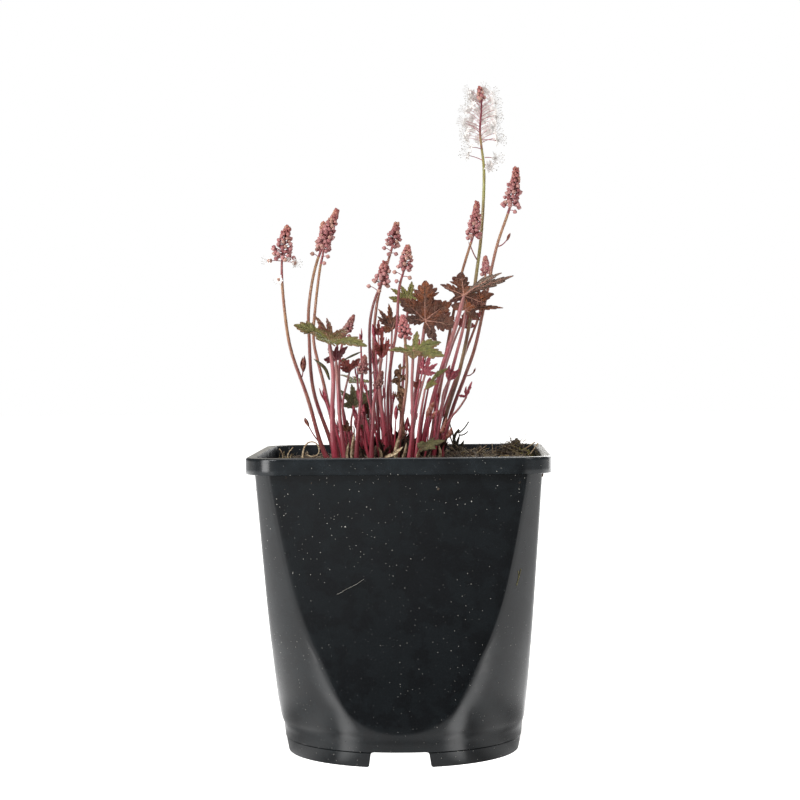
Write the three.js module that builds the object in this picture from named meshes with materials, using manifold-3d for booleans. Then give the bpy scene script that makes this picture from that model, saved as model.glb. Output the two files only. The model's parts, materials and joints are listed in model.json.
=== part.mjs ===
// A foamflower in its square-top nursery pot, in millimetres, +Z up.
// The origin is on the ground under the middle of the pot, and the front is -Y.
import * as THREE from 'three';
import { mergeVertices } from 'three/addons/utils/BufferGeometryUtils.js';
import Module from 'manifold-3d';

const wasm = await Module();
wasm.setup();

// Driving dimensions of the pot
const rimWidth = 165;
const potHeight = 168.7;
const rimCorner = 19.7;
const rimTall = 9.1;
const wall = 1.6;
const faceAtFoot = 66.8; // half width between the flats, at the ground
const faceDraft = 0.066; // how fast the flats lean out
const roundProfile = [ // height and radius of the round surface that the flats cut
  [11.5, 67.3], [18, 68.4], [30, 74.2], [59, 83], [98, 93], [172, 105],
];
const ring = { topRadius: 66.7, footRadius: 65.3, edge: 0.8, width: 2.2 };
const notch = { topWidth: 32, footWidth: 34, height: 8.7, corner: 2 };
const floorUnder = 10;
const floorThick = 2;
const drain = { count: 4, radius: 5, circle: 38, sides: 8 };
const potSegments = 40;
const soilSegments = 28;
const facetSlack = 0.25; // room for the soil's coarser facets inside the pot's
const past = 1; // how far a cutting solid reaches beyond what it cuts

// Driving dimensions of the soil and of what stands in it
const gap = 0.3; // clearance between pieces that touch
const soilLevel = 161;
const soilCells = 11;
const rootDepth = 11; // how far a stem reaches under its first point
const rootFoot = 149.5; // stems end here, a little above the bottom of their holes
const holeGap = 0.4;
const bladeThick = 0.9;
const stub = 4; // leaf stem that stays on the blade
const goldenAngle = 2.39996;
const stalkSides = 5;
const stemSteps = { stalk: 8, brittle: 7, leaf: 6, young: 4 };
const budRows = { // the packed buds of a head
  around: 8, pitch: 1.9, point: 0.8, stem: 0.75,
  valleyShare: 0.6, // how far the head reaches between its buds
  footShare: 0.6, tipShare: 0.34, taper: 1.8, // how it narrows to both ends
};
const looseBud = { radius: 1.6, tall: 1.15, rod: 0.5, lift: 0.25, firstTurn: 0.6, firstShare: 0.6 };
const sideBud = { radius: 1.5, rod: 0.6 };
const flower = { radius: 3.7, waist: 1.2, cup: 0.7, thick: 0.7, rod: 0.5 };
const flowerStem = { radius: 0.8, lift: 0.3, firstTurn: 1.2, tipShare: 0.35, single: 18, foot: 3 };
const leafForm = { // shares of a lobe's length
  arch: 0.06, widest: 0.34, sinusDepth: 0.56, spread: 0.6, angleShare: 0.42,
  base: [0.32, 0.7], // the corner beside the leaf stem: along the lobe, share of its half width
};

const up = new THREE.Vector3(0, 0, 1);
const vec = ([x, y, z]) => new THREE.Vector3(x, y, z);

// Solids

function toSolid(geometry) {
  const bare = geometry.clone();
  bare.deleteAttribute('normal');
  bare.deleteAttribute('uv');
  const merged = mergeVertices(bare, 1e-4);
  return new wasm.Manifold(new wasm.Mesh({
    numProp: 3,
    vertProperties: new Float32Array(merged.attributes.position.array),
    triVerts: new Uint32Array(merged.index.array),
  }));
}

function toGeometry(solid) {
  const mesh = solid.getMesh();
  const geometry = new THREE.BufferGeometry();
  geometry.setAttribute('position', new THREE.BufferAttribute(mesh.vertProperties.slice(), 3));
  geometry.setIndex(new THREE.BufferAttribute(mesh.triVerts.slice(), 1));
  geometry.computeVertexNormals();
  return geometry;
}

function fuse(solids) {
  return solids.reduce((all, solid) => all.add(solid));
}

function lathe(profile, segments) {
  const points = profile.map(([height, radius]) => new THREE.Vector2(radius, height));
  return toSolid(new THREE.LatheGeometry(points, segments).rotateX(Math.PI / 2));
}

function block(width, depth, low, high) {
  const geometry = new THREE.BoxGeometry(width, depth, high - low);
  return toSolid(geometry.translate(0, 0, (low + high) / 2));
}

// Pot

function fourFlats(inset, low, high) {
  const halfAt = (z) => faceAtFoot + faceDraft * z - inset;
  const corner = Math.SQRT2;
  const cone = new THREE.CylinderGeometry(halfAt(high) * corner, halfAt(low) * corner, high - low, 4);
  return toSolid(cone.rotateY(Math.PI / 4).rotateX(Math.PI / 2).translate(0, 0, (low + high) / 2));
}

function roundBody(inset, low, high, segments) {
  const heights = roundProfile.map(([z]) => z).filter((z) => z > low && z < high);
  const profile = [low, ...heights, high].map((z) => [z, roundRadius(z) - inset]);
  return lathe([[low, 0], ...profile, [high, 0]], segments);
}

function roundRadius(z) {
  const last = roundProfile.length - 1;
  const i = Math.max(1, roundProfile.findIndex(([height], k) => height >= z || k === last));
  const [z0, r0] = roundProfile[i - 1];
  const [z1, r1] = roundProfile[i];
  return THREE.MathUtils.lerp(r0, r1, Math.max(0, (z - z0) / (z1 - z0)));
}

function potShell(inset, low, high, segments) {
  return roundBody(inset, low, high, segments).intersect(fourFlats(inset, low - past, high + past));
}

function roundedSquare(half, corner) {
  const shape = new THREE.Shape();
  const flat = half - corner;
  shape.absarc(flat, flat, corner, 0, Math.PI / 2);
  shape.absarc(-flat, flat, corner, Math.PI / 2, Math.PI);
  shape.absarc(-flat, -flat, corner, Math.PI, Math.PI * 1.5);
  shape.absarc(flat, -flat, corner, Math.PI * 1.5, Math.PI * 2);
  return shape;
}

function plate(shape, low, high) {
  const options = { depth: high - low, bevelEnabled: false, curveSegments: 5 };
  return toSolid(new THREE.ExtrudeGeometry(shape, options).translate(0, 0, low));
}

function notchShape() {
  const { topWidth, footWidth, height, corner } = notch;
  const shape = new THREE.Shape();
  shape.moveTo(-footWidth / 2, -past);
  shape.lineTo(footWidth / 2, -past);
  shape.lineTo(topWidth / 2, height - corner);
  shape.lineTo(topWidth / 2 - corner, height);
  shape.lineTo(-topWidth / 2 + corner, height);
  shape.lineTo(-topWidth / 2, height - corner);
  shape.closePath();
  return shape;
}

function makePot() {
  const { topRadius, footRadius, edge, width } = ring;
  const ringTop = roundProfile[0][0];
  const foot = lathe([[0, 0], [0, footRadius - edge], [edge, footRadius],
    [ringTop, topRadius], [ringTop + past, topRadius], [ringTop + past, 0]], potSegments);
  const body = potShell(0, ringTop, potHeight, potSegments);
  const rimLow = potHeight - rimTall;
  const rim = plate(roundedSquare(rimWidth / 2, rimCorner), rimLow, potHeight)
    .subtract(plate(roundedSquare(rimWidth / 2 - wall, rimCorner - wall), rimLow - past, potHeight - wall));
  const inside = potShell(wall, floorUnder + floorThick, potHeight + past, potSegments);
  const underFloor = lathe([[-past, 0], [-past, footRadius - width], [floorUnder, footRadius - width],
    [floorUnder, 0]], potSegments);
  const notchCut = toSolid(new THREE.ExtrudeGeometry(notchShape(), { depth: rimWidth, bevelEnabled: false })
    .rotateX(Math.PI / 2).translate(0, rimWidth / 2, 0));
  let pot = fuse([foot, body, rim]).subtract(inside).subtract(underFloor).subtract(notchCut);
  const midFloor = floorUnder + floorThick / 2;
  for (let k = 0; k < drain.count; k += 1) {
    const angle = (k + 0.5) * Math.PI * 2 / drain.count;
    const hole = new THREE.CylinderGeometry(drain.radius, drain.radius, 4 * floorThick, drain.sides)
      .rotateX(Math.PI / 2)
      .translate(drain.circle * Math.cos(angle), drain.circle * Math.sin(angle), midFloor);
    pot = pot.subtract(toSolid(hole));
  }
  return pot;
}

// Stems: a tube along a smooth curve through a few points

function rooted(points) {
  const [first, second] = [vec(points[0]), vec(points[1])];
  const down = first.clone().sub(second);
  down.multiplyScalar(rootDepth / Math.abs(down.z));
  return [first.clone().add(down), ...points.map(vec)];
}

function stretch(curve, from, to, steps) {
  const length = curve.getLength();
  const points = [];
  for (let k = 0; k <= steps; k += 1) {
    points.push(curve.getPointAt(THREE.MathUtils.lerp(from, to, k / steps) / length));
  }
  return new THREE.CatmullRomCurve3(points);
}

function tube(curve, radius, sides, steps) {
  const ringPoints = [];
  for (let k = 0; k < sides; k += 1) {
    const angle = k * Math.PI * 2 / sides;
    ringPoints.push(new THREE.Vector2(radius * Math.cos(angle), radius * Math.sin(angle)));
  }
  const options = { steps, bevelEnabled: false, extrudePath: curve };
  return toSolid(new THREE.ExtrudeGeometry(new THREE.Shape(ringPoints), options));
}

function rod(from, to, radius, sides = 3) {
  return tube(new THREE.LineCurve3(from, to), radius, sides, 1);
}

const belowRoots = block(rimWidth, rimWidth, rootFoot - 2 * rootDepth, rootFoot);
const holes = [];

function standingStem(curve, length, radius, steps) {
  const part = stretch(curve, 0, length, steps);
  holes.push(tube(part, radius + holeGap, stalkSides, steps));
  return tube(part, radius, stalkSides, steps).subtract(belowRoots);
}

// Heads of buds and of open flowers

function frameAt(curve, distance) {
  const at = THREE.MathUtils.clamp(distance / curve.getLength(), 0, 1);
  const tangent = curve.getTangentAt(at);
  const side = new THREE.Vector3(1, 0, 0).cross(tangent).normalize();
  return { point: curve.getPointAt(at), tangent, side, other: tangent.clone().cross(side) };
}

function outward({ side, other }, angle) {
  return side.clone().multiplyScalar(Math.cos(angle)).addScaledVector(other, Math.sin(angle));
}

function bud(centre, direction, radius) {
  const shape = new THREE.OctahedronGeometry(radius).scale(1, 1, looseBud.tall);
  const turn = new THREE.Quaternion().setFromUnitVectors(up, direction.clone().normalize());
  return toSolid(shape.applyQuaternion(turn).translate(centre.x, centre.y, centre.z));
}

// The closed buds stand out of the head as rows of points, each row turned half a bud from the last.
function budCone(curve, { dense, width }) {
  const { around, pitch, valleyShare, footShare, tipShare, taper } = budRows;
  const rows = Math.round(dense / pitch);
  const vertices = [];
  for (let row = 0; row <= rows; row += 1) {
    const along = row / rows;
    const place = frameAt(curve, curve.getLength() - dense * (1 - along));
    const share = THREE.MathUtils.lerp(1, tipShare, along ** taper) * (row === 0 ? footShare : 1);
    for (let k = 0; k < around; k += 1) {
      const reach = (width / 2) * share * ((row + k) % 2 === 0 ? 1 : valleyShare);
      vertices.push(place.point.clone().addScaledVector(outward(place, k * 2 * Math.PI / around), reach));
    }
  }
  const foot = vertices.push(frameAt(curve, curve.getLength() - dense).point) - 1;
  const top = frameAt(curve, curve.getLength());
  const head = vertices.push(top.point.clone().addScaledVector(top.tangent, budRows.point)) - 1;
  const index = [];
  for (let k = 0; k < around; k += 1) {
    const next = (k + 1) % around;
    index.push(foot, next, k, head, rows * around + k, rows * around + next);
    for (let row = 0; row < rows; row += 1) {
      const [a, b, c, d] = [row * around + k, row * around + next, (row + 1) * around + k,
        (row + 1) * around + next];
      index.push(...((row + k) % 2 === 0 ? [a, b, c, b, d, c] : [a, b, d, a, d, c]));
    }
  }
  return meshSolid(vertices, index);
}

function meshSolid(vertices, index) {
  const geometry = new THREE.BufferGeometry();
  const numbers = vertices.flatMap((vertex) => vertex.toArray());
  geometry.setAttribute('position', new THREE.Float32BufferAttribute(numbers, 3));
  geometry.setIndex(index);
  return toSolid(geometry);
}

function budHead(curve, start, { dense, width, loose, reach }) {
  const length = curve.getLength();
  const stem = stretch(curve, start, length - dense + budRows.pitch, 3);
  const parts = [tube(stem, budRows.stem, stalkSides, 3), budCone(curve, { dense, width })];
  for (let k = 0; k < loose; k += 1) {
    const along = (k + looseBud.firstShare) / loose;
    const place = frameAt(curve, length - dense - along * (length - dense - start - looseBud.rod * 2));
    const angle = k * goldenAngle + looseBud.firstTurn;
    const out = outward(place, angle).addScaledVector(place.tangent, looseBud.lift);
    const far = THREE.MathUtils.lerp(width / 2 + looseBud.rod, reach, along);
    const tip = place.point.clone().addScaledVector(out, far);
    parts.push(rod(place.point, tip, looseBud.rod), bud(tip, out, looseBud.radius));
  }
  return fuse(parts);
}

// An open flower is a star of five narrow petals round a thick middle.
function openFlower(centre, facing) {
  const side = new THREE.Vector3().crossVectors(facing, up).normalize();
  const other = new THREE.Vector3().crossVectors(facing, side);
  const petals = 5;
  const vertices = [];
  for (let k = 0; k < petals * 2; k += 1) {
    const isTip = k % 2 === 0;
    const out = outward({ side, other }, k * Math.PI / petals);
    vertices.push(centre.clone().addScaledVector(out, isTip ? flower.radius : flower.waist)
      .addScaledVector(facing, isTip ? flower.cup : 0));
  }
  vertices.push(centre.clone().addScaledVector(facing, flower.thick));
  vertices.push(centre.clone().addScaledVector(facing, -flower.thick));
  const index = [];
  for (let k = 0; k < petals * 2; k += 1) {
    const next = (k + 1) % (petals * 2);
    index.push(k, next, petals * 2, next, k, petals * 2 + 1);
  }
  return meshSolid(vertices, index);
}

function flowerHead(curve, start, { flowers, single, reach }) {
  const length = curve.getLength();
  const crowded = start + flowerStem.single; // above this the flowers stand close together
  const parts = [tube(stretch(curve, start, length, 5), flowerStem.radius, stalkSides, 5)];
  for (let k = 0; k < flowers; k += 1) {
    const height = k < single
      ? THREE.MathUtils.lerp(start + flowerStem.foot, crowded, k / single)
      : THREE.MathUtils.lerp(crowded, length - 1, (k - single) / (flowers - 1 - single));
    const along = k / (flowers - 1);
    const place = frameAt(curve, height);
    const out = outward(place, k * goldenAngle + flowerStem.firstTurn)
      .addScaledVector(place.tangent, flowerStem.lift).normalize();
    const far = reach * THREE.MathUtils.lerp(1, flowerStem.tipShare, along ** 3);
    const tip = place.point.clone().addScaledVector(out, far);
    parts.push(rod(place.point, tip, flower.rod), openFlower(tip, out));
  }
  return fuse(parts);
}

// Leaves: lobes round the junction with the leaf stem, each with teeth on both edges

const toothedEdge = { // share along the lobe, share of its half width
  2: [[0.6, 1], [0.65, 0.7], [0.8, 0.6], [0.85, 0.32]],
  1: [[0.66, 0.85], [0.72, 0.5]],
};
const midribAt = { 2: [0.5, 0.78], 1: [0.55] };

function leafNormal(lobes) {
  const normal = new THREE.Vector3();
  lobes.slice(1).forEach((lobe, i) => normal.add(lobes[i].clone().cross(lobe)));
  return normal.normalize();
}

function halfLobe({ junction, ribs, tip, sinus, edge }, flip) {
  const faces = [[junction, ribs[0], sinus], [ribs[0], edge[0], sinus]];
  if (ribs.length === 1) {
    faces.push([ribs[0], edge[1], edge[0]], [ribs[0], tip, edge[1]]);
  } else {
    faces.push([ribs[0], edge[1], edge[0]], [ribs[0], ribs[1], edge[1]], [ribs[1], edge[2], edge[1]],
      [ribs[1], edge[3], edge[2]], [ribs[1], tip, edge[3]]);
  }
  return flip ? faces.map(([a, b, c]) => [a, c, b]) : faces;
}

function blade({ at, tips, teeth = 1 }) {
  const { arch, widest, sinusDepth, spread, angleShare, base } = leafForm;
  const centre = vec(at);
  const lobes = tips.map((tip) => vec(tip).sub(centre));
  const normal = leafNormal(lobes);
  const archSign = normal.z < 0 ? -1 : 1;
  const vertices = [];
  const add = (offset, height = 0) => {
    vertices.push(centre.clone().add(offset).addScaledVector(normal, height));
    return vertices.length - 1;
  };
  const flatAngle = (a, b) => a.clone().projectOnPlane(normal).angleTo(b.clone().projectOnPlane(normal));
  const widthTo = (lobe, next) => {
    const room = next ? spread * Math.tan(angleShare * flatAngle(lobe, next)) : widest;
    return Math.min(widest, room);
  };
  const junction = add(new THREE.Vector3());
  const between = (a, b) => a.clone().add(b).multiplyScalar(sinusDepth / 2);
  const sinuses = lobes.slice(1).map((lobe, i) => add(between(lobe, lobes[i])));
  const faces = [];
  const outline = [junction];
  lobes.forEach((lobe, i) => {
    const length = lobe.length();
    const across = normal.clone().cross(lobe).normalize();
    const lift = (share) => archSign * arch * length * 4 * share * (1 - share);
    const onEdge = (share, offset) => add(lobe.clone().multiplyScalar(share)
      .addScaledVector(across, offset * length), lift(share));
    const ribs = midribAt[teeth].map((share) => onEdge(share, 0));
    const tip = add(lobe);
    const side = (sign, next, sinus) => {
      const width = widthTo(lobe, next);
      const edge = toothedEdge[teeth].map(([share, out]) => onEdge(share, sign * width * out));
      const inner = sinus ?? onEdge(base[0], sign * width * base[1]);
      faces.push(...halfLobe({ junction, ribs, tip, sinus: inner, edge }, sign < 0));
      return { edge, inner };
    };
    const right = side(-1, lobes[i - 1], sinuses[i - 1]);
    const left = side(1, lobes[i + 1], sinuses[i]);
    outline.push(right.inner, ...right.edge, tip, ...left.edge.reverse());
    if (i === lobes.length - 1) outline.push(left.inner);
  });
  return slab(vertices, faces, outline, normal);
}

function slab(vertices, faces, outline, normal) {
  const count = vertices.length;
  const offset = normal.clone().multiplyScalar(bladeThick / 2);
  const upper = vertices.map((vertex) => vertex.clone().add(offset));
  const lower = vertices.map((vertex) => vertex.clone().sub(offset));
  const index = [];
  faces.forEach(([a, b, c]) => index.push(a, b, c, a + count, c + count, b + count));
  outline.forEach((a, i) => {
    const b = outline[(i + 1) % outline.length];
    index.push(a + count, b + count, b, a + count, b, a);
  });
  return meshSolid([...upper, ...lower], index);
}

// The plant: hand-placed points from the soil up

const floweringStems = [
  { radius: 1.15, head: { length: 32, dense: 15, width: 7.4, loose: 5, reach: 7 },
    path: [[-38, -8, 158], [-44, -10, 170], [-52, -14, 199], [-61, -19, 227], [-64, -22, 249],
      [-65, -26, 271], [-64, -28, 282], [-61, -30, 295]],
    side: [[[-56, -16, 212], [-53, -17, 222]], [[-45.5, -11, 176], [-51, -13, 187]]] },
  { radius: 1.15, head: { length: 29, dense: 20, width: 7.4, loose: 3, reach: 4 },
    path: [[-36, -4, 158], [-39, -6, 172], [-49, -9, 203], [-51, -12, 233], [-51, -14, 249],
      [-47, -16, 272], [-41, -18, 288], [-34, -20, 305]] },
  { radius: 1.1, head: { length: 25, dense: 17, width: 7, loose: 4, reach: 4.5 },
    path: [[-35, 8, 157], [-39, 9, 180], [-44, 10, 205], [-50, 11, 232], [-49, 12, 249],
      [-46, 13, 273], [-44, 13, 283], [-44, 14, 300]] },
  { radius: 1.1, head: { length: 18, dense: 14, width: 7, loose: 2, reach: 4.5 },
    path: [[-13, 14, 157], [-14, 17, 197], [-16, 20, 227], [-15, 21, 244], [-13, 22, 257],
      [-7, 24, 278], [-5, 25, 285], [-2, 26, 300]] },
  { radius: 1.1, head: { length: 19, dense: 12.5, width: 7, loose: 4, reach: 6 },
    path: [[-17, 0, 158], [-17, -2, 175], [-17, -5, 211], [-17, -8, 240], [-15, -9, 251],
      [-10, -11, 265], [-8, -12, 276]],
    side: [[[-17, -6, 214], [-20, -7, 219]], [[-17, -6, 212], [-13, -8, 218]]] },
  { radius: 1.1, head: { length: 21, dense: 14, width: 7, loose: 3, reach: 5.5 },
    path: [[-5, -4, 158], [-7, -6, 182], [-7, -8, 202], [-5, -10, 220], [-2, -11, 237],
      [0, -14, 261], [3, -15, 272], [5, -16, 285]] },
  { radius: 1.15, open: true, head: { length: 46, flowers: 20, single: 5, reach: 8.6 },
    path: [[18, 16, 157], [26, 15, 190], [33, 14, 212], [39, 14, 239], [43, 13, 266], [46, 12, 288],
      [48, 12, 317], [48, 11, 330], [46, 11, 350], [47, 10, 365], [46, 10, 374]],
    side: [[[44.5, 12.7, 276], [40, 11, 285]]] },
  { radius: 1.1, head: { length: 24, dense: 19, width: 7, loose: 3, reach: 4.5 },
    path: [[13, 8, 157], [19, 12, 186], [26, 15, 225], [31, 16, 251], [35, 11, 269], [39, 5, 282],
      [42, 3, 292], [44, 2, 310]] },
  { radius: 1.15, head: { length: 27, dense: 22, width: 7.4, loose: 3, reach: 5.5 },
    path: [[21, 3, 157], [28, 5, 188], [37, 7, 212], [42, 8, 226], [48, 8, 252], [55, 4, 284],
      [63, -3, 308], [66, -8, 328]],
    side: [[[55.5, 4, 285], [61, 3, 289]], [[37, 7, 211], [41.5, 6, 213]]] },
  { radius: 0.9, head: { length: 12, dense: 10, width: 5, loose: 1, reach: 3 },
    path: [[11, 28, 156], [22, 32, 185], [35, 36, 219], [46, 40, 249], [49, 43, 270], [49, 44, 281]] },
  { radius: 1, head: { length: 14, dense: 12.5, width: 7, loose: 1, reach: 3.5 },
    path: [[-3, -20, 159], [1, -23, 187], [4, -26, 209], [4, -27, 222], [3, -29, 234], [2, -30, 246]] },
  { radius: 0.9, head: { length: 13, dense: 11, width: 6, loose: 1, reach: 3.5 },
    path: [[-30, 18, 157], [-32, 20, 181], [-36, 22, 203], [-35, 24, 226], [-32, 25, 236],
      [-27, 26, 247]] },
  { radius: 1.1, head: { length: 11.5, dense: 10.5, width: 7, loose: 0, reach: 0 },
    path: [[-25, -20, 159], [-24, -22, 176], [-22, -25, 196], [-21, -26, 211], [-19, -28, 224]] },
  { radius: 1.1, head: { length: 11, dense: 10, width: 6, loose: 0, reach: 0 },
    path: [[-16, -26, 159], [-16, -27, 170], [-15, -29, 183], [-14, -30, 199], [-9, -32, 215]] },
];

const driedStem = { radius: 1, path: [[1, -4, 158], [1, -5, 186], [-1, -6, 203], [0, -6, 216]],
  side: [[[0, -5.5, 196], [-3, -7, 201]], [[0, -6, 208], [3, -7, 212]], [[0, -6, 214], [0, -6, 218]]] };

const splitLeaves = [
  { radius: 1.4, path: [[-36, -20, 159], [-38, -22, 186], [-37, -24, 212]], teeth: 2,
    at: [-39, -26, 231], tips: [[-18, -32, 228], [-30, -12, 237], [-41, -13, 244], [-48, -19, 246],
      [-58, -30, 240], [-45, -42, 232]] },
  { radius: 1.3, path: [[-30, -10, 158], [-34, -11, 185], [-35, -12, 205]],
    at: [-36, -12, 220], tips: [[-31, -6, 228], [-35, -13, 229], [-40, -18, 228], [-42, -16, 221]] },
  { radius: 1.2, path: [[6, 4, 157], [7, 6, 191], [11, 7, 220]], teeth: 2,
    at: [14, 8, 242], tips: [[19, -2, 231], [31, 0, 240], [28, 10, 253], [14, 20, 265], [0, 12, 255],
      [3, 4, 244]] },
  { radius: 0.9, path: [[-2, 18, 157], [0, 21, 197], [2, 22, 226]],
    at: [4, 24, 253], tips: [[11, 26, 259], [6, 31, 265], [0, 30, 263], [-6, 25, 261], [-7, 22, 256]] },
  { radius: 1.5, path: [[10, -6, 158], [14, -7, 181], [18, -8, 197], [24, -10, 217], [31, -11, 238]],
    teeth: 2, at: [36, -12, 256], tips: [[48, -7, 251], [64, -1, 267], [57, -22, 268], [35, -8, 269],
      [23, -15, 262], [28, -18, 253]] },
  { radius: 1.1, path: [[16, 1, 157], [21, 0, 185], [27, 0, 207], [31, 0, 221], [36, 1, 240]],
    teeth: 2, at: [37, 1, 248], tips: [[45, -6, 242], [58, -3, 249], [53, 3, 257], [37, 9, 257],
      [29, 5, 251]] },
  { radius: 1, path: [[4, -28, 159], [7, -33, 182], [7, -38, 206]], teeth: 2,
    at: [8, -42, 225], tips: [[25, -48, 222], [23, -36, 230], [10, -33, 236], [3, -36, 229],
      [-5, -48, 225], [8, -56, 221]] },
];

const wholeLeaves = [
  { radius: 0.9, path: [[-30, 2, 158], [-32, 0, 181], [-33, -2, 195]],
    at: [-29, -4, 213], tips: [[-26, -10, 216], [-23, -2, 221], [-33, 2, 221], [-34, -6, 216]] },
  { radius: 0.9, path: [[-26, 10, 157], [-29, 13, 185]], at: [-27, 14, 193],
    tips: [[-20, 6, 196], [-16, 18, 203], [-29, 20, 206], [-35, 14, 203], [-34, 8, 194]] },
  { radius: 0.9, path: [[-22, 22, 157], [-24, 27, 185]], at: [-26, 30, 207],
    tips: [[-17, 32, 207], [-25, 42, 209], [-36, 28, 211], [-30, 18, 207]] },
  { radius: 1, path: [[15, 22, 156], [20, 25, 197], [26, 27, 218], [31, 27, 232]],
    at: [34, 28, 239], tips: [[43, 24, 239], [47, 33, 247], [39, 37, 248], [32, 31, 245]] },
  { radius: 1, path: [[8, -18, 159], [11, -20, 187]],
    at: [14, -24, 204], tips: [[25, -35, 210], [27, -29, 215], [20, -24, 214]] },
  { radius: 1.4, path: [[-7, -14, 158], [-8, -15, 170], [-9, -17, 183], [-11, -19, 198], [-11, -21, 216]],
    at: [-10, -22, 221], tips: [[-6, -26, 232], [-10, -19, 239], [-12, -26, 231]] },
  { radius: 0.9, path: [[-8, 8, 157], [-6, 9, 186], [-6, 9, 214]],
    at: [-5, 10, 237], tips: [[-2, 12, 247], [-7, 16, 252], [-13, 14, 249], [-13, 9, 245], [-12, 5, 238]] },
  { radius: 1, path: [[6, -12, 158], [7, -13, 181], [10, -13, 197]],
    at: [14, -14, 212], tips: [[20, -18, 213], [21, -16, 218], [15, -11, 223], [12, -15, 217]] },
  { radius: 1, path: [[17, -8, 158], [23, -11, 191], [24, -11, 201]],
    at: [27, -12, 208], tips: [[33, -14, 214], [30, -11, 219], [27, -14, 214]] },
  { radius: 0.9, path: [[22, -6, 158], [24, -9, 175], [28, -12, 187], [33, -13, 193]],
    at: [37, -14, 199], tips: [[40, -15, 208], [37, -11, 205], [32, -16, 200]] },
];

const fallenLeaf = { radius: 0.8, path: [[10, -26, 158], [10, -26, 165]], at: [11, -26, 170],
  tips: [[20, -35, 171], [25, -28, 175], [19, -22, 177], [13, -22, 175]] };

const twig = { radius: 0.9, path: [[31, 34, 157], [31, 34, 166], [30, 34, 175], [33, 34, 179]],
  side: [[[30, 34, 174], [28, 32, 183]], [[33, 34, 178], [38, 36, 184]], [[31, 34, 175], [36, 33, 178]],
    [[31, 34, 168], [28, 38, 174]]] };

const dryCurl = { radius: 0.7, path: [[-53, -40, 158], [-53, -41, 167], [-51, -40, 173], [-47, -40, 173],
  [-45, -40, 168], [-47, -41, 165]] };

// The soil and the lumps that lie on it

const lumps = [ // place, radius
  [66, 40, 163, 5], [62, 38, 166, 3.5], [67, 41, 168, 2.6], [70, -28, 161, 5], [73, -24, 164, 3.4],
  [42, 52, 162, 4], [26, 46, 161, 5], [50, -20, 160, 5], [-20, 40, 161, 5], [-58, 20, 160, 4],
];
const lumpStretch = [1.2, 1, 0.8];
const crown = { x: -2, y: 2, height: 3.2, spread: 1500 }; // the heap under the clump
const ripples = [ // height, steps along x and along y, start
  [0.9, 0.21, 0, 1], [0.6, 0.11, 0.37, 0],
];
const rippleAcross = 0.17;
const slope = 0.012; // the soil rises to the far right corner

function soilHeight(x, y) {
  const heap = crown.height * Math.exp(-((x - crown.x) ** 2 + (y - crown.y) ** 2) / crown.spread);
  const [broad, fine] = ripples.map(([height, alongX, alongY, start]) => (
    height * Math.sin(x * alongX + y * alongY + start)));
  return soilLevel + heap + broad * Math.cos(y * rippleAcross) + fine + slope * (x + y);
}

function makeSoil() {
  const ground = new THREE.BoxGeometry(rimWidth, rimWidth, soilLevel, soilCells, soilCells, 1)
    .translate(0, 0, soilLevel / 2);
  const position = ground.attributes.position;
  for (let k = 0; k < position.count; k += 1) {
    const isTop = position.getZ(k) > soilLevel / 2;
    if (isTop) position.setZ(k, soilHeight(position.getX(k), position.getY(k)));
  }
  const low = floorUnder + floorThick + gap;
  const filling = potShell(wall + gap + facetSlack, low, potHeight, soilSegments);
  const heap = lumps.map(([x, y, z, radius], k) => toSolid(new THREE.IcosahedronGeometry(radius)
    .rotateZ(k).scale(...lumpStretch).translate(x, y, z)));
  return fuse([toSolid(ground), ...heap]).intersect(filling).subtract(fuse(holes));
}

// Assembly

const potted = new THREE.Group();

function place(name, solid, color, roughness) {
  const material = new THREE.MeshStandardMaterial({ color, roughness, metalness: 0 });
  const mesh = new THREE.Mesh(toGeometry(solid), material);
  mesh.name = name;
  potted.add(mesh);
}

function sideBuds(side = []) {
  return side.flatMap(([foot, tip]) => {
    const [from, to] = [vec(foot), vec(tip)];
    return [rod(from, to, sideBud.rod), bud(to, to.clone().sub(from), sideBud.radius)];
  });
}

const twoDigits = (k) => String(k + 1).padStart(2, '0');
const colours = {
  stalk: 0x8e4a45, flowerStalk: 0x8a8048, buds: 0xbb5c58, petals: 0xf0dcdc, leafStem: 0x9c3c4e,
  blade: 0x6a4630, youngLeaf: 0x7a3a38, fallenLeaf: 0x6b6440, driedStem: 0x5a3a2c, twig: 0x2c261e,
  dryCurl: 0x8a7050, soil: 0x3a2c20, pot: 0x15191c,
};

floweringStems.forEach(({ radius, head, path, side, open }, k) => {
  const curve = new THREE.CatmullRomCurve3(rooted(path));
  const start = curve.getLength() - head.length;
  const stalk = fuse([standingStem(curve, start - gap, radius, stemSteps.stalk), ...sideBuds(side)]);
  place(`stalk_${twoDigits(k)}`, stalk, open ? colours.flowerStalk : colours.stalk, 0.6);
  const name = `${open ? 'flowers' : 'buds'}_${twoDigits(k)}`;
  const flowering = open ? flowerHead(curve, start, head) : budHead(curve, start, head);
  place(name, flowering, open ? colours.petals : colours.buds, 0.7);
});

function brittleStem(name, { radius, path, side }, color) {
  const curve = new THREE.CatmullRomCurve3(rooted(path));
  const stem = standingStem(curve, curve.getLength(), radius, stemSteps.brittle);
  place(name, fuse([stem, ...sideBuds(side)]), color, 0.9);
}

function leafCurve({ path, at }) {
  return new THREE.CatmullRomCurve3(rooted([...path, at]));
}

splitLeaves.forEach((leaf, k) => {
  const curve = leafCurve(leaf);
  const joint = curve.getLength() - stub;
  const stem = standingStem(curve, joint - gap, leaf.radius, stemSteps.leaf);
  place(`leaf_stem_${twoDigits(k)}`, stem, colours.leafStem, 0.5);
  const collar = tube(stretch(curve, joint, curve.getLength(), 1), leaf.radius, stalkSides, 1);
  place(`leaf_blade_${twoDigits(k)}`, blade(leaf).add(collar), colours.blade, 0.7);
});

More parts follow.
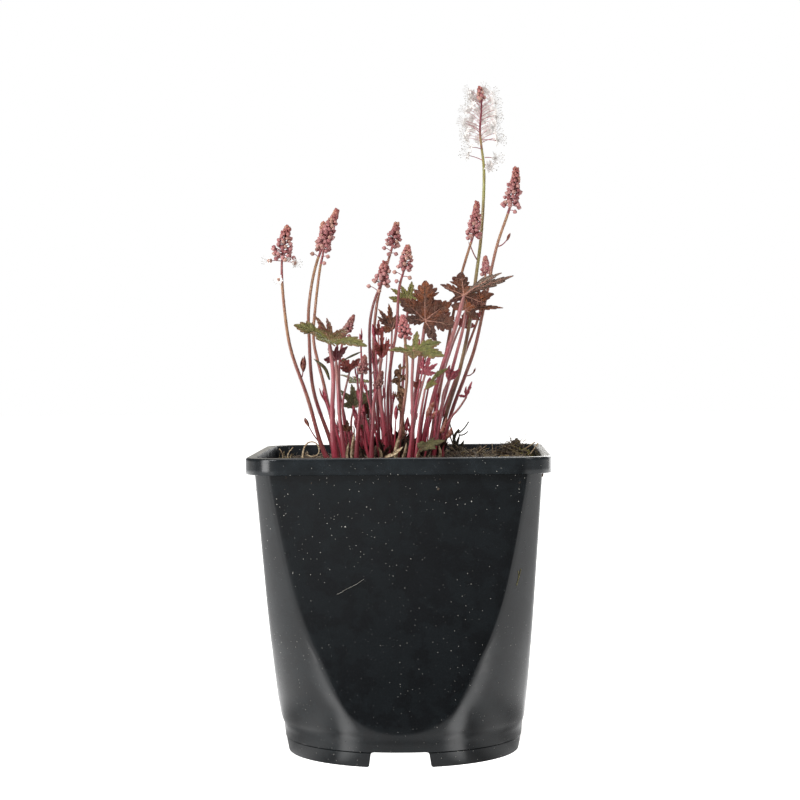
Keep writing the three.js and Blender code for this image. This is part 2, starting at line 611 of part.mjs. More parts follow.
function wholeLeaf(name, leaf, color) {
  const curve = leafCurve(leaf);
  const stem = standingStem(curve, curve.getLength(), leaf.radius, stemSteps.young);
  place(name, stem.add(blade(leaf)), color, 0.6);
}

wholeLeaves.forEach((leaf, k) => wholeLeaf(`young_leaf_${twoDigits(k)}`, leaf, colours.youngLeaf));
wholeLeaf('fallen_leaf', fallenLeaf, colours.fallenLeaf);
brittleStem('dried_stem', driedStem, colours.driedStem);
brittleStem('twig', twig, colours.twig);
brittleStem('dry_curl', dryCurl, colours.dryCurl);
place('soil', makeSoil(), colours.soil, 1);
place('pot', makePot(), colours.pot, 0.3);

export default potted;
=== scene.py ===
import json
import math
import random

import bmesh
import bpy
import numpy as np
from mathutils import Matrix, Vector, noise

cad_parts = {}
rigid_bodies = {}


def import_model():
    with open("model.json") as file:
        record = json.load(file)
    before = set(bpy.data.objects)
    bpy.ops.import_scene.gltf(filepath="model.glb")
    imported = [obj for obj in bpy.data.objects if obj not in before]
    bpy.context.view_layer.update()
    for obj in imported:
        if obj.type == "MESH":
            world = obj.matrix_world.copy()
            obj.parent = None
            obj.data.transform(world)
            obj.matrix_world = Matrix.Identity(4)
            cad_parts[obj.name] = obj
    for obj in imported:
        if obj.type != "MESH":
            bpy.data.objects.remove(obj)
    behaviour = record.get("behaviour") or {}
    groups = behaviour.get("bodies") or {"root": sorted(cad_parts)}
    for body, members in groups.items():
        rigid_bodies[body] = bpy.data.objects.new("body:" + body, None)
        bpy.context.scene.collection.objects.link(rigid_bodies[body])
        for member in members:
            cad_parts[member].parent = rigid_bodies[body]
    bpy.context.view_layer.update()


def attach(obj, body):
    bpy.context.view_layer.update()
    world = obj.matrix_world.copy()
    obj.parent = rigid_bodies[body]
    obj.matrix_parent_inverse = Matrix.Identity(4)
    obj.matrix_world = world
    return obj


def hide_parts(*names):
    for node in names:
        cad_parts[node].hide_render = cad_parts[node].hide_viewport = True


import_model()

# A pink foamflower in its square-top nursery pot. Lengths in the lists are millimetres, and the
# scene is in metres. The front of the pot is -Y and the ground is z = 0.
mm = 0.001
goldenAngle = 2.39996
for stray in [o for o in bpy.data.objects if o.name in ("Cube", "Light", "Camera")]:
    bpy.data.objects.remove(stray)


# Small helpers

def colour(text):
    parts = [int(text[k:k + 2], 16) / 255 for k in (0, 2, 4)]
    return (*[c / 12.92 if c <= 0.04045 else ((c + 0.055) / 1.055) ** 2.4 for c in parts], 1.0)


def mix(a, b, share):
    return a + (b - a) * share


def clamp(value, low=0.0, high=1.0):
    return max(low, min(high, value))


def unit(v):
    return v / max(np.linalg.norm(v), 1e-9)


def newMesh(name, points, faces, edges=()):
    mesh = bpy.data.meshes.new(name)
    mesh.from_pydata([tuple(float(c) * mm for c in p) for p in points], list(edges), faces)
    mesh.update()
    return mesh


def newObject(name, mesh):
    thing = bpy.data.objects.new(name, mesh)
    bpy.context.scene.collection.objects.link(thing)
    return thing


def storeOnPoints(mesh, name, values, kind="FLOAT"):
    layer = mesh.attributes.new(name, kind, "POINT")
    key = "vector" if kind == "FLOAT_VECTOR" else "value"
    layer.data.foreach_set(key, np.array(values, np.float32).ravel())


def joined(name, things):
    # one object out of several, with their materials and attributes
    with bpy.context.temp_override(active_object=things[0], selected_editable_objects=things):
        bpy.ops.object.join()
    things[0].name = name
    things[0].data.name = name
    return things[0]


def tidyMesh(mesh, mergeBelow=0.002, sharpAbove=None):
    # doubles merged, faces turned outward, and edges over an angle kept sharp
    shape = bmesh.new()
    shape.from_mesh(mesh)
    bmesh.ops.remove_doubles(shape, verts=shape.verts, dist=mergeBelow * mm)
    bmesh.ops.recalc_face_normals(shape, faces=shape.faces)
    for face in shape.faces:
        face.smooth = True
    if sharpAbove:
        for edge in shape.edges:
            single = len(edge.link_faces) < 2
            edge.smooth = single or edge.calc_face_angle(0) < math.radians(sharpAbove)
    shape.to_mesh(mesh)
    shape.free()
    mesh.update()
    return mesh


def settled(thing):
    # the object with its modifiers worked into its mesh
    depsgraph = bpy.context.evaluated_depsgraph_get()
    made = bpy.data.meshes.new_from_object(thing.evaluated_get(depsgraph), preserve_all_data_layers=True,
                                           depsgraph=depsgraph)
    thing.modifiers.clear()
    thing.data = made
    return thing


def seat(piece, slotName, *nodes):
    # the piece belongs to the pot's one body, and stands for the plain solids named
    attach(piece, "root")
    if nodes:
        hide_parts(*nodes)
    return piece


class Path:
    # a smooth curve through a few points, measured along its length
    def __init__(self, points):
        p = np.array(points, float)
        p = np.vstack([2 * p[0] - p[1], p, 2 * p[-1] - p[-2]])
        knots = self.sums(np.sqrt(np.linalg.norm(np.diff(p, axis=0), axis=1)))
        fine = []
        for i in range(1, len(p) - 2):
            t0, t1, t2, t3 = knots[i - 1:i + 3]
            for t in np.linspace(t1, t2, 20, endpoint=i == len(p) - 3):
                a = ((t1 - t) * p[i - 1] + (t - t0) * p[i]) / (t1 - t0)
                b = ((t2 - t) * p[i] + (t - t1) * p[i + 1]) / (t2 - t1)
                c = ((t3 - t) * p[i + 1] + (t - t2) * p[i + 2]) / (t3 - t2)
                d = ((t2 - t) * a + (t - t0) * b) / (t2 - t0)
                e = ((t3 - t) * b + (t - t1) * c) / (t3 - t1)
                fine.append(((t2 - t) * d + (t - t1) * e) / (t2 - t1))
        self.fine = np.array(fine)
        self.steps = self.sums(np.linalg.norm(np.diff(self.fine, axis=0), axis=1))
        self.length = self.steps[-1]

    def sums(self, parts):
        return np.concatenate([[0], np.cumsum(parts)])

    def at(self, distance):
        return np.array([np.interp(distance, self.steps, self.fine[:, k]) for k in range(3)])

    def heading(self, distance):
        return unit(self.at(min(distance + 0.5, self.length)) - self.at(max(distance - 0.5, 0)))

    def part(self, start, end, count):
        return [self.at(d) for d in np.linspace(start, end, count)]


# Node helpers

def addNode(tree, kind, inputs=None, **settings):
    node = tree.nodes.new(kind)
    for key, value in settings.items():
        setattr(node, key, value)
    for key, value in (inputs or {}).items():
        if isinstance(value, bpy.types.NodeSocket):
            tree.links.new(value, node.inputs[key])
        else:
            node.inputs[key].default_value = value
    return node


def calc(tree, operation, a, b=0.0, c=0.0, limit=False):
    inputs = {0: a, 1: b, 2: c}
    return addNode(tree, "ShaderNodeMath", inputs, operation=operation, use_clamp=limit).outputs[0]


def times(tree, a, b, limit=False):
    return calc(tree, "MULTIPLY", a, b, limit=limit)


def ranged(tree, value, low, high, toLow=0.0, toHigh=1.0, kind="LINEAR"):
    return addNode(tree, "ShaderNodeMapRange", {0: value, 1: low, 2: high, 3: toLow, 4: toHigh},
                   interpolation_type=kind).outputs[0]


def blendColours(tree, share, a, b):
    a, b = (colour(c) if isinstance(c, str) else c for c in (a, b))
    return addNode(tree, "ShaderNodeMix", {0: share, 6: a, 7: b}, data_type="RGBA").outputs[2]


def vectorCalc(tree, operation, a, b=(0, 0, 0), scale=None):
    inputs = {0: a, 1: b} if scale is None else {0: a, 3: scale}
    return addNode(tree, "ShaderNodeVectorMath", inputs, operation=operation).outputs[0]


def newGroup(name, kind, inputs, outputs):
    tree = bpy.data.node_groups.new(name, kind)
    for label, socketType, value in inputs:
        socket = tree.interface.new_socket(label, in_out="INPUT", socket_type="NodeSocket" + socketType)
        if value is not None:
            socket.default_value = value
    for label, socketType in outputs:
        tree.interface.new_socket(label, in_out="OUTPUT", socket_type="NodeSocket" + socketType)
    entry = tree.nodes.new("NodeGroupInput").outputs
    leave = tree.nodes.new("NodeGroupOutput").inputs
    return tree, entry, leave


def runNodes(host, tree, values):
    # sets the named inputs, and turns what the tree makes into a plain mesh
    modifier = host.modifiers.new(tree.name, "NODES")
    modifier.node_group = tree
    sockets = {s.name: s.identifier for s in tree.interface.items_tree if s.in_out == "INPUT"}
    for label, value in values.items():
        modifier[sockets[label]] = value
    return settled(host)


# Shader groups that several finishes share

def newMask(name, inputs):
    return newGroup(name, "ShaderNodeTree", [("Vector", "Vector", None), *inputs], [("Mask", "Float")])


def noiseOf(tree, place, scale, **values):
    return addNode(tree, "ShaderNodeTexNoise", {"Vector": place, "Scale": scale, **values}).outputs[0]


def makeBlotches():
    tree, entry, leave = newMask("blotches", [("Scale", "Float", 80.0), ("Contrast", "Float", 0.5)])
    cloud = noiseOf(tree, entry["Vector"], entry["Scale"], Detail=5.0, Roughness=0.6)
    low = calc(tree, "MULTIPLY_ADD", entry["Contrast"], 0.24, 0.26)
    high = calc(tree, "SUBTRACT", 1.0, low)
    tree.links.new(ranged(tree, cloud, low, high, kind="SMOOTHSTEP"), leave["Mask"])
    return tree


def makeSpecks():
    # round dots with a slightly uneven edge, in a share of the cells
    tree, entry, leave = newMask("specks", [("Scale", "Float", 300.0), ("Size", "Float", 0.2),
                                            ("Share", "Float", 0.15)])
    wobble = noiseOf(tree, entry["Vector"], 1400.0, Detail=2.0)
    cells = addNode(tree, "ShaderNodeTexVoronoi", {"Vector": entry["Vector"], "Scale": entry["Scale"]})
    spread = calc(tree, "MULTIPLY_ADD", wobble, 0.35, cells.outputs["Distance"])
    reach = calc(tree, "ADD", entry["Size"], 0.16)
    dot = ranged(tree, spread, calc(tree, "SUBTRACT", reach, 0.05), reach, 1.0, 0.0)
    draw = addNode(tree, "ShaderNodeSeparateColor", {0: cells.outputs["Color"]}).outputs[0]
    chosen = calc(tree, "LESS_THAN", draw, entry["Share"])
    tree.links.new(times(tree, dot, chosen), leave["Mask"])
    return tree


def makeStreaks():
    tree, entry, leave = newMask("streaks", [("Scale", "Float", 900.0), ("Stretch", "Float", 0.08)])
    squeeze = addNode(tree, "ShaderNodeCombineXYZ", {0: 1.0, 1: 1.0, 2: entry["Stretch"]}).outputs[0]
    drawnOut = vectorCalc(tree, "MULTIPLY", entry["Vector"], squeeze)
    lines = noiseOf(tree, drawnOut, entry["Scale"], Detail=3.0)
    tree.links.new(ranged(tree, lines, 0.32, 0.68, kind="SMOOTHSTEP"), leave["Mask"])
    return tree


def makeGrain():
    # a fine relief, with a height of the finish's own added
    tree, entry, leave = newGroup("grain", "ShaderNodeTree",
                                  [("Vector", "Vector", None), ("Scale", "Float", 900.0),
                                   ("Depth", "Float", 0.1), ("Extra height", "Float", 0.0)],
                                  [("Normal", "Vector")])
    cloud = noiseOf(tree, entry["Vector"], entry["Scale"], Detail=4.0)
    height = calc(tree, "ADD", cloud, entry["Extra height"])
    bump = addNode(tree, "ShaderNodeBump", {"Strength": 1.0, "Height": height,
                                            "Distance": times(tree, entry["Depth"], mm)})
    tree.links.new(bump.outputs[0], leave["Normal"])
    return tree


def makeLeafVeins():
    # veins from the leaf's own map: x counts the side veins along a lobe, y runs from edge to edge
    tree, entry, leave = newGroup("leafVeins", "ShaderNodeTree",
                                  [("Map", "Vector", None), ("Place", "Vector", None),
                                   ("Net scale", "Float", 800.0)],
                                  [("Mask", "Float"), ("Height", "Float")])
    parts = addNode(tree, "ShaderNodeSeparateXYZ", {0: entry["Map"]}).outputs
    across = calc(tree, "ABSOLUTE", calc(tree, "MULTIPLY_ADD", parts[1], 2.0, -1.0))
    toVein = calc(tree, "PINGPONG", parts[0], 0.5)
    narrow = ranged(tree, across, 0.0, 1.0, 0.11, 0.03)
    side = ranged(tree, toVein, narrow, 0.0, kind="SMOOTHSTEP")
    middle = ranged(tree, across, 0.13, 0.03, kind="SMOOTHSTEP")
    net = addNode(tree, "ShaderNodeTexVoronoi", {"Vector": entry["Place"], "Scale": entry["Net scale"]},
                  feature="DISTANCE_TO_EDGE")
    mesh = ranged(tree, net.outputs["Distance"], 0.1, 0.0)
    strong = calc(tree, "MAXIMUM", middle, times(tree, side, 0.75))
    tree.links.new(calc(tree, "MAXIMUM", strong, times(tree, mesh, 0.28)), leave["Mask"])
    sunk = times(tree, strong, -1.2)
    tree.links.new(calc(tree, "MULTIPLY_ADD", mesh, -0.5, sunk), leave["Height"])
    return tree


blotches = makeBlotches()
specks = makeSpecks()
streaks = makeStreaks()
grain = makeGrain()
leafVeins = makeLeafVeins()
print("shader groups made")


# Finishes

def useGroup(tree, group, **values):
    inputs = {key.replace("_", " "): value for key, value in values.items()}
    return addNode(tree, "ShaderNodeGroup", inputs, node_tree=group).outputs


def maskOf(tree, group, place, **values):
    return useGroup(tree, group, Vector=place, **values)["Mask"]


def newFinish(name, roughness=0.5, specular=0.4):
    finish = bpy.data.materials.new(name)
    finish.use_nodes = True
    tree = finish.node_tree
    shader = tree.nodes["Principled BSDF"]
    shader.inputs["Roughness"].default_value = roughness
    shader.inputs["Specular IOR Level"].default_value = specular
    place = tree.nodes.new("ShaderNodeTexCoord").outputs["Object"]
    return finish, tree, shader, place


def setSurface(tree, shader, skin, rough, **relief):
    # the colour, the roughness and the fine relief of a finish
    tree.links.new(skin, shader.inputs["Base Color"])
    tree.links.new(rough, shader.inputs["Roughness"])
    tree.links.new(useGroup(tree, grain, **relief)["Normal"], shader.inputs["Normal"])


def readAttribute(tree, name):
    return addNode(tree, "ShaderNodeAttribute", attribute_name=name,
                   attribute_type="GEOMETRY").outputs["Fac"]


def colourRamp(tree, value, stops):
    # the two ends come first in the list of stops, and then the stops between them
    node = addNode(tree, "ShaderNodeValToRGB", {0: value})
    ramp = node.color_ramp
    for k, (position, text) in enumerate(stops):
        stop = ramp.elements[k] if k < 2 else ramp.elements.new(position)
        stop.position = position
        stop.color = colour(text)
    return node.outputs[0]


potFinish = {"deep": "080b0e", "pale": "0b1013", "dust": "b9b6ac", "speck": "d6d3ca", "film": "2c3439",
             "roughness": (0.21, 0.26), "specular": 0.42}


def makePotPlastic():
    # black plastic with dust, pale dots, a thin film on the rim, and dirt low on the foot
    finish, tree, shader, place = newFinish("potPlastic", 0.3, potFinish["specular"])
    wide = maskOf(tree, blotches, place, Scale=14.0, Contrast=0.6)
    smear = maskOf(tree, blotches, place, Scale=90.0, Contrast=0.9)
    cloud = maskOf(tree, blotches, place, Scale=60.0, Contrast=0.15)
    dots = maskOf(tree, specks, place, Scale=520.0, Size=0.115, Share=0.6)
    crumbs = maskOf(tree, specks, place, Scale=210.0, Size=0.072, Share=0.42)
    x, y, height = addNode(tree, "ShaderNodeSeparateXYZ", {0: place}).outputs
    moreAbove = ranged(tree, height, 0.02, 0.15, 0.35, 1.0)
    strewn = times(tree, ranged(tree, wide, 0.25, 0.7, 0.1, 1.0), moreAbove)
    lowEdge = times(tree, ranged(tree, height, 0.014, 0.008), ranged(tree, x, -0.03, 0.03, 0.5, 1.0))
    patchy = calc(tree, "MAXIMUM", strewn, lowEdge)
    body = blendColours(tree, smear, potFinish["deep"], potFinish["pale"])
    onRim = ranged(tree, height, 0.1594, 0.1598, 0.05, 0.35)
    filmed = blendColours(tree, times(tree, cloud, onRim), body, potFinish["film"])
    normal = tree.nodes.new("ShaderNodeNewGeometry").outputs["Normal"]
    facingUp = addNode(tree, "ShaderNodeSeparateXYZ", {0: normal}).outputs[2]
    ends = ranged(tree, calc(tree, "ABSOLUTE", x), 0.055, 0.08, 0.08, 1.0)
    fallen = times(tree, times(tree, ranged(tree, facingUp, 0.75, 0.98), ends),
                   ranged(tree, height, 0.166, 0.1675, 0.0, 0.9))
    lined = blendColours(tree, times(tree, fallen, ranged(tree, cloud, 0.0, 1.0, 0.55, 1.0)), filmed,
                         potFinish["dust"])
    dusted = blendColours(tree, times(tree, dots, patchy), lined, potFinish["dust"])
    unlike = times(tree, crumbs, ranged(tree, smear, 0.3, 0.6, 0.3, 1.0))
    speckled = blendColours(tree, times(tree, unlike, patchy), dusted, potFinish["speck"])
    rough = ranged(tree, smear, 0.0, 1.0, *potFinish["roughness"])
    marked = calc(tree, "MAXIMUM", rough, times(tree, calc(tree, "MAXIMUM", dots, crumbs), 0.8))
    raised = times(tree, calc(tree, "ADD", crumbs, dots), 6.0)
    setSurface(tree, shader, speckled, marked, Vector=place, Scale=260.0, Depth=0.012, Extra_height=raised)
    return finish


def makeEarth(name, dark, middle, light, scale=500.0, depth=0.6):
    finish, tree, shader, place = newFinish(name, 0.95, 0.15)
    wide = maskOf(tree, blotches, place, Scale=scale * 0.25, Contrast=0.8)
    fine = maskOf(tree, blotches, place, Scale=scale * 2.0, Contrast=1.0)
    base = blendColours(tree, wide, dark, middle)
    setSurface(tree, shader, blendColours(tree, times(tree, fine, 0.6), base, light),
               ranged(tree, fine, 0.0, 1.0, 0.98, 0.8), Vector=place, Scale=scale * 2.4, Depth=depth)
    return finish


def makeStemSkin(name, stops, roughness=0.34, tint="c98f8a"):
    # the colour runs from the soil to the top of the stem, with fine lengthwise streaks and pale dots
    finish, tree, shader, place = newFinish(name, roughness, 0.55)
    wander = maskOf(tree, blotches, place, Scale=70.0, Contrast=0.5)
    along = calc(tree, "SUBTRACT", readAttribute(tree, "tone"), 0.11)
    base = colourRamp(tree, calc(tree, "MULTIPLY_ADD", wander, 0.22, along), stops)
    lines = maskOf(tree, streaks, place, Scale=1100.0, Stretch=0.06)
    dots = maskOf(tree, specks, place, Scale=900.0, Size=0.12, Share=0.3)
    darker = blendColours(tree, times(tree, lines, 0.34), base, "5a1a24")
    dotted = blendColours(tree, times(tree, dots, 0.4), darker, tint)
    rough = ranged(tree, lines, 0.0, 1.0, roughness - 0.06, roughness + 0.12)
    setSurface(tree, shader, dotted, rough, Vector=place, Scale=1500.0, Depth=0.08, Extra_height=lines)
    return finish


# foot: the darker colour of a bud's foot, partly its own and partly painted shade
budColours = {"ripe": ("945056", "d2a09d"), "young": ("853a38", "b87060"), "tan": "a08a68", "rosy": "b46a6c",
              "dusk": "4c2021", "foot": "8a444a", "tip": "8a4638", "bloom": "e0b0a6"}


def makeBudSkin():
    # each bud is darkest at its foot, partly its own redder base and partly painted shade for the shade
    # between crowded buds, and palest on its shoulder, and the top buds are redder
    finish, tree, shader, place = newFinish("budSkin", 0.55, 0.3)
    tip, shade, tone, dusk = (readAttribute(tree, name) for name in ("tip", "shade", "tone", "dusk"))
    ripe = blendColours(tree, shade, *budColours["ripe"])
    young = blendColours(tree, shade, *budColours["young"])
    pink = blendColours(tree, ranged(tree, tone, 0.35, 1.0), ripe, young)
    body = blendColours(tree, ranged(tree, shade, 0.72, 0.95, 0.0, 0.5), pink, budColours["tan"])
    # dusk above 0 is painted shade that darkens a whole head, most on the low heads in the clump; below 0 it
    # gives the head a rosy colour of its own
    rosy = blendColours(tree, ranged(tree, dusk, 0.0, -1.0, 0.0, 0.8), body, budColours["rosy"])
    paintedHeadShade = blendColours(tree, times(tree, dusk, 0.85, limit=True), rosy, budColours["dusk"])
    # painted shade: the foot of each bud darkens to the foot colour, for the shade between crowded buds as
    # well as its own redder base
    paintedFootShade = blendColours(tree, ranged(tree, tip, 0.42, 0.0, 0.0, 0.9), paintedHeadShade, budColours["foot"])
    tipped = blendColours(tree, ranged(tree, tip, 0.78, 1.0, 0.0, 0.6), paintedFootShade, budColours["tip"])
    mottle = maskOf(tree, blotches, place, Scale=900.0, Contrast=0.7)
    bloomed = blendColours(tree, times(tree, mottle, 0.14), tipped, budColours["bloom"])
    setSurface(tree, shader, bloomed, ranged(tree, mottle, 0.0, 1.0, 0.48, 0.68), Vector=place,
               Scale=2200.0, Depth=0.12)
    return finish


# glow: a painted glow, light that the petals give off of their own
petalFinish = {"lower": ("e6e3e0", "f4f3f0"), "upper": ("e2bcc2", "efdcde"), "vein": "dcbcbb", "paintedGlow": 0.09}


def makePetal():
    finish, tree, shader, place = newFinish("petal", 0.6, 0.3)
    tip = readAttribute(tree, "tip")
    lower = blendColours(tree, tip, *petalFinish["lower"])
    upper = blendColours(tree, tip, *petalFinish["upper"])
    vein = maskOf(tree, streaks, place, Scale=1800.0, Stretch=0.3)
    body = blendColours(tree, ranged(tree, readAttribute(tree, "tone"), 0.25, 0.9), lower, upper)
    veined = blendColours(tree, times(tree, vein, 0.12), body, petalFinish["vein"])
    tree.links.new(veined, shader.inputs["Emission Color"])  # painted glow, standing in for light that comes through the thin petal
    shader.inputs["Emission Strength"].default_value = petalFinish["paintedGlow"]
    setSurface(tree, shader, veined, ranged(tree, vein, 0.0, 1.0, 0.55, 0.7), Vector=place, Scale=2400.0,
               Depth=0.06)
    return finish


def makeLeafSkin(name, upper, patch, vein, rim, rimShare=0.6, roughness=0.5, paintedHighlight=None, blush="5c2024"):
    # blotched between its veins, with blotches of painted highlight where a highlight colour is given,
    # redder along its open edge and on the lobes that are given a blush, and paler with a painted sheen on
    # lobes seen edge-on
    finish, tree, shader, place = newFinish(name, roughness, 0.35)
    leafMap = addNode(tree, "ShaderNodeUVMap", uv_map="leafMap").outputs[0]
    wide = maskOf(tree, blotches, place, Scale=60.0, Contrast=0.7)
    fine = maskOf(tree, blotches, place, Scale=700.0, Contrast=0.8)
    lines = useGroup(tree, leafVeins, Map=leafMap, Place=place, Net_scale=850.0)
    plain = blendColours(tree, wide, upper, patch)
    if paintedHighlight:
        # painted highlight: blotches of a lighter, warmer colour that stand in for highlights on the leaf
        highlightPatches = maskOf(tree, blotches, place, Scale=170.0, Contrast=0.7)
        plain = blendColours(tree, times(tree, highlightPatches, 0.7), plain, paintedHighlight)
    blushAndSheen = readAttribute(tree, "blush")  # above 0 the dark blush of a lobe, under 0 a painted sheen, the pale grey of a lobe seen edge-on
    reddened = blendColours(tree, times(tree, blushAndSheen, 1.0, limit=True), plain, blush)
    base = blendColours(tree, times(tree, blushAndSheen, -0.8, limit=True), reddened, "a39c8c")
    dotted = blendColours(tree, times(tree, fine, 0.25), base, vein)
    edge = ranged(tree, readAttribute(tree, "rim"), 0.55, 1.0, 0.0, rimShare)
    edged = blendColours(tree, edge, dotted, rim)
    rough = ranged(tree, fine, 0.0, 1.0, roughness - 0.08, roughness + 0.12)
    setSurface(tree, shader, blendColours(tree, lines["Mask"], edged, vein), rough, Vector=place,
               Scale=1300.0, Depth=0.5, Extra_height=times(tree, lines["Height"], 1.5))
    return finish


def makePlainPlant(name, dark, light, roughness=0.7, scale=800.0):
    finish, tree, shader, place = newFinish(name, roughness, 0.3)
    mask = maskOf(tree, blotches, place, Scale=scale, Contrast=0.8)
    lines = maskOf(tree, streaks, place, Scale=scale * 1.5, Stretch=0.15)
    base = blendColours(tree, mask, dark, light)
    rough = ranged(tree, mask, 0.0, 1.0, roughness - 0.1, roughness + 0.15)
    setSurface(tree, shader, blendColours(tree, times(tree, lines, 0.3), base, dark), rough, Vector=place,
               Scale=scale * 2, Depth=0.15)
    return finish


potPlastic = makePotPlastic()
soilMix = makeEarth("soilMix", "302a26", "564d44", "90877a")
peatCrumb = makeEarth("peatCrumb", "403831", "6c6154", "a89d8c", 900.0, 0.4)
perliteGrain = makeEarth("perliteGrain", "b9b4a8", "d8d4ca", "f1efe9", 900.0, 0.3)
strawFibre = makePlainPlant("strawFibre", "786648", "bda87c", 0.65)
rootFibre = makePlainPlant("rootFibre", "5c5146", "aa9c84", 0.8)
mossGreen = makePlainPlant("mossGreen", "6d6a1e", "b3ab3a", 0.75, 1400.0)
barkGrey = makePlainPlant("barkGrey", "3a2f26", "6a5a48", 0.85)
dryBrown = makePlainPlant("dryBrown", "6a4a38", "a07c62", 0.8)
darkTwig = makePlainPlant("darkTwig", "1e1c15", "4c4836", 0.7)
darkHusk = makePlainPlant("darkHusk", "2a1c18", "5e4438", 0.8)
papery = makePlainPlant("papery", "8f765c", "d0bd9c", 0.75)
stalkSkin = makeStemSkin("stalkSkin", [(0.0, "80303e"), (1.0, "a27b58"), (0.25, "8c3f46"), (0.5, "8e524a"),
                                       (0.75, "946450")], 0.28)
stalkOlive = makeStemSkin("stalkOlive", [(0.0, "3a1a18"), (1.0, "9a9a58"), (0.2, "4e2c24"),
                                         (0.45, "7c5a42"), (0.75, "948458")], 0.3)
stalkOliveTop = makeStemSkin("stalkOliveTop", [(0.0, "8f8d48"), (1.0, "7c2436"), (0.28, "938a4c"),
                                               (0.4, "8b5a48"), (0.5, "7c2a38")])
stalkDark = makeStemSkin("stalkDark", [(0.0, "7c3040"), (1.0, "7a4640"), (0.35, "6e2f3a"),
                                       (0.7, "66343a")], 0.28)
leafStemSkin = makeStemSkin("leafStemSkin", [(0.0, "8c2a3a"), (1.0, "a8736c"), (0.3, "a63c4c"),
                                             (0.65, "a8585f")], 0.3, "e0b0ac")
budSkin = makeBudSkin()
rachisSkin = makePlainPlant("rachisSkin", "7c4044", "a06462", 0.5)
pedicelSkin = makePlainPlant("pedicelSkin", "8a444c", "ac6a6e", 0.5)
shootBud = makePlainPlant("shootBud", "5a2a26", "8c5a4a", 0.5)
bractPink = makePlainPlant("bractPink", "a8604e", "d29a8c", 0.55)
bractPale = makePlainPlant("bractPale", "c49aa0", "dcc0c2", 0.55)
bractGreen = makePlainPlant("bractGreen", "4a4630", "706a48", 0.6)
hairPale = makePlainPlant("hairPale", "b98a84", "e0c4bd", 0.6)
petal = makePetal()
filamentWhite = makePlainPlant("filamentWhite", "cfc8c4", "e6e2df", 0.6)
antherBrown = makePlainPlant("antherBrown", "4c4234", "94805c", 0.7)
ribPale = makePlainPlant("ribPale", "9c6a5c", "b58876", 0.5)
youngSkin = makePlainPlant("youngSkin", "8c2f3c", "b4606a", 0.4)
leafGreen = makeLeafSkin("leafGreen", "646a32", "7f7c3e", "a8a26e", "9a5c4c", paintedHighlight="8c8844", blush="7c2c34")
leafGreenUnder = makeLeafSkin("leafGreenUnder", "6c6843", "7b6545", "9a8a6c", "8e5a50", 0.4, 0.62,
                              blush="86303a")
leafBronze = makeLeafSkin("leafBronze", "3f2018", "653622", "a07c6a", "6c2c1e", 0.5, paintedHighlight="a05628",
                          blush="381a18")
leafBronzeUnder = makeLeafSkin("leafBronzeUnder", "5a3326", "663f31", "9a7866", "6d3430", 0.4, 0.6)
leafRed = makeLeafSkin("leafRed", "5f2020", "7c3830", "a8665a", "94303a", paintedHighlight="8c3a30")
leafRedUnder = makeLeafSkin("leafRedUnder", "76333a", "834149", "b07272", "94343c", 0.4, 0.6)
leafPink = makeLeafSkin("leafPink", "a23a4c", "b3535f", "d29098", "b03048", paintedHighlight="c06068")
leafOlive = makeLeafSkin("leafOlive", "43432a", "5c5638", "8c8860", "7c5a44", 0.5, 0.55)
dryLeaf = makeLeafSkin("dryLeaf", "686440", "59503a", "97906a", "4b3b2a", 0.6, 0.8)
print("finishes made")


# Geometry node trees

pedicelRadius = 0.00022


def newNodeTree(name, inputs):
    return newGroup(name, "GeometryNodeTree", [("Geometry", "Geometry", None), *inputs],
                    [("Geometry", "Geometry")])


def namedValue(tree, name, kind="FLOAT"):
    return addNode(tree, "GeometryNodeInputNamedAttribute", {0: name}, data_type=kind).outputs[0]


def shapeOf(tree, thing):
    return addNode(tree, "GeometryNodeObjectInfo", {0: thing}).outputs["Geometry"]


def pointAlong(tree, axis):
    return addNode(tree, "FunctionNodeAlignRotationToVector", {"Vector": axis}, axis="Z").outputs[0]


def pushed(tree, geometry, direction, amount):
    offset = vectorCalc(tree, "SCALE", direction, scale=amount)
    return addNode(tree, "GeometryNodeSetPosition", {"Geometry": geometry, "Offset": offset}).outputs[0]


def placed(tree, points, shape, rotation, scale):
    inputs = {"Points": points, "Instance": shape, "Rotation": rotation, "Scale": scale}
    return addNode(tree, "GeometryNodeInstanceOnPoints", inputs).outputs[0]


def finished(tree, geometry, material, selection=True):
    # plain geometry with its finish, which is how each tree ends
    whole = addNode(tree, "GeometryNodeRealizeInstances", {0: geometry}).outputs[0]
    inputs = {"Geometry": whole, "Selection": selection, "Material": material}
    return addNode(tree, "GeometryNodeSetMaterial", inputs).outputs[0]


def randomFloat(tree, low, high, seed, more=0):
    # with another number added to it, one seed gives draws that don't go together
    drawn = calc(tree, "ADD", seed, more) if more else seed
    node = addNode(tree, "FunctionNodeRandomValue", {2: low, 3: high, "Seed": drawn}, data_type="FLOAT")
    return node.outputs[1]


def storeFloat(tree, geometry, name, value):
    inputs = {"Geometry": geometry, "Name": name, "Value": value}
    return addNode(tree, "GeometryNodeStoreNamedAttribute", inputs, data_type="FLOAT",
                   domain="INSTANCE").outputs[0]


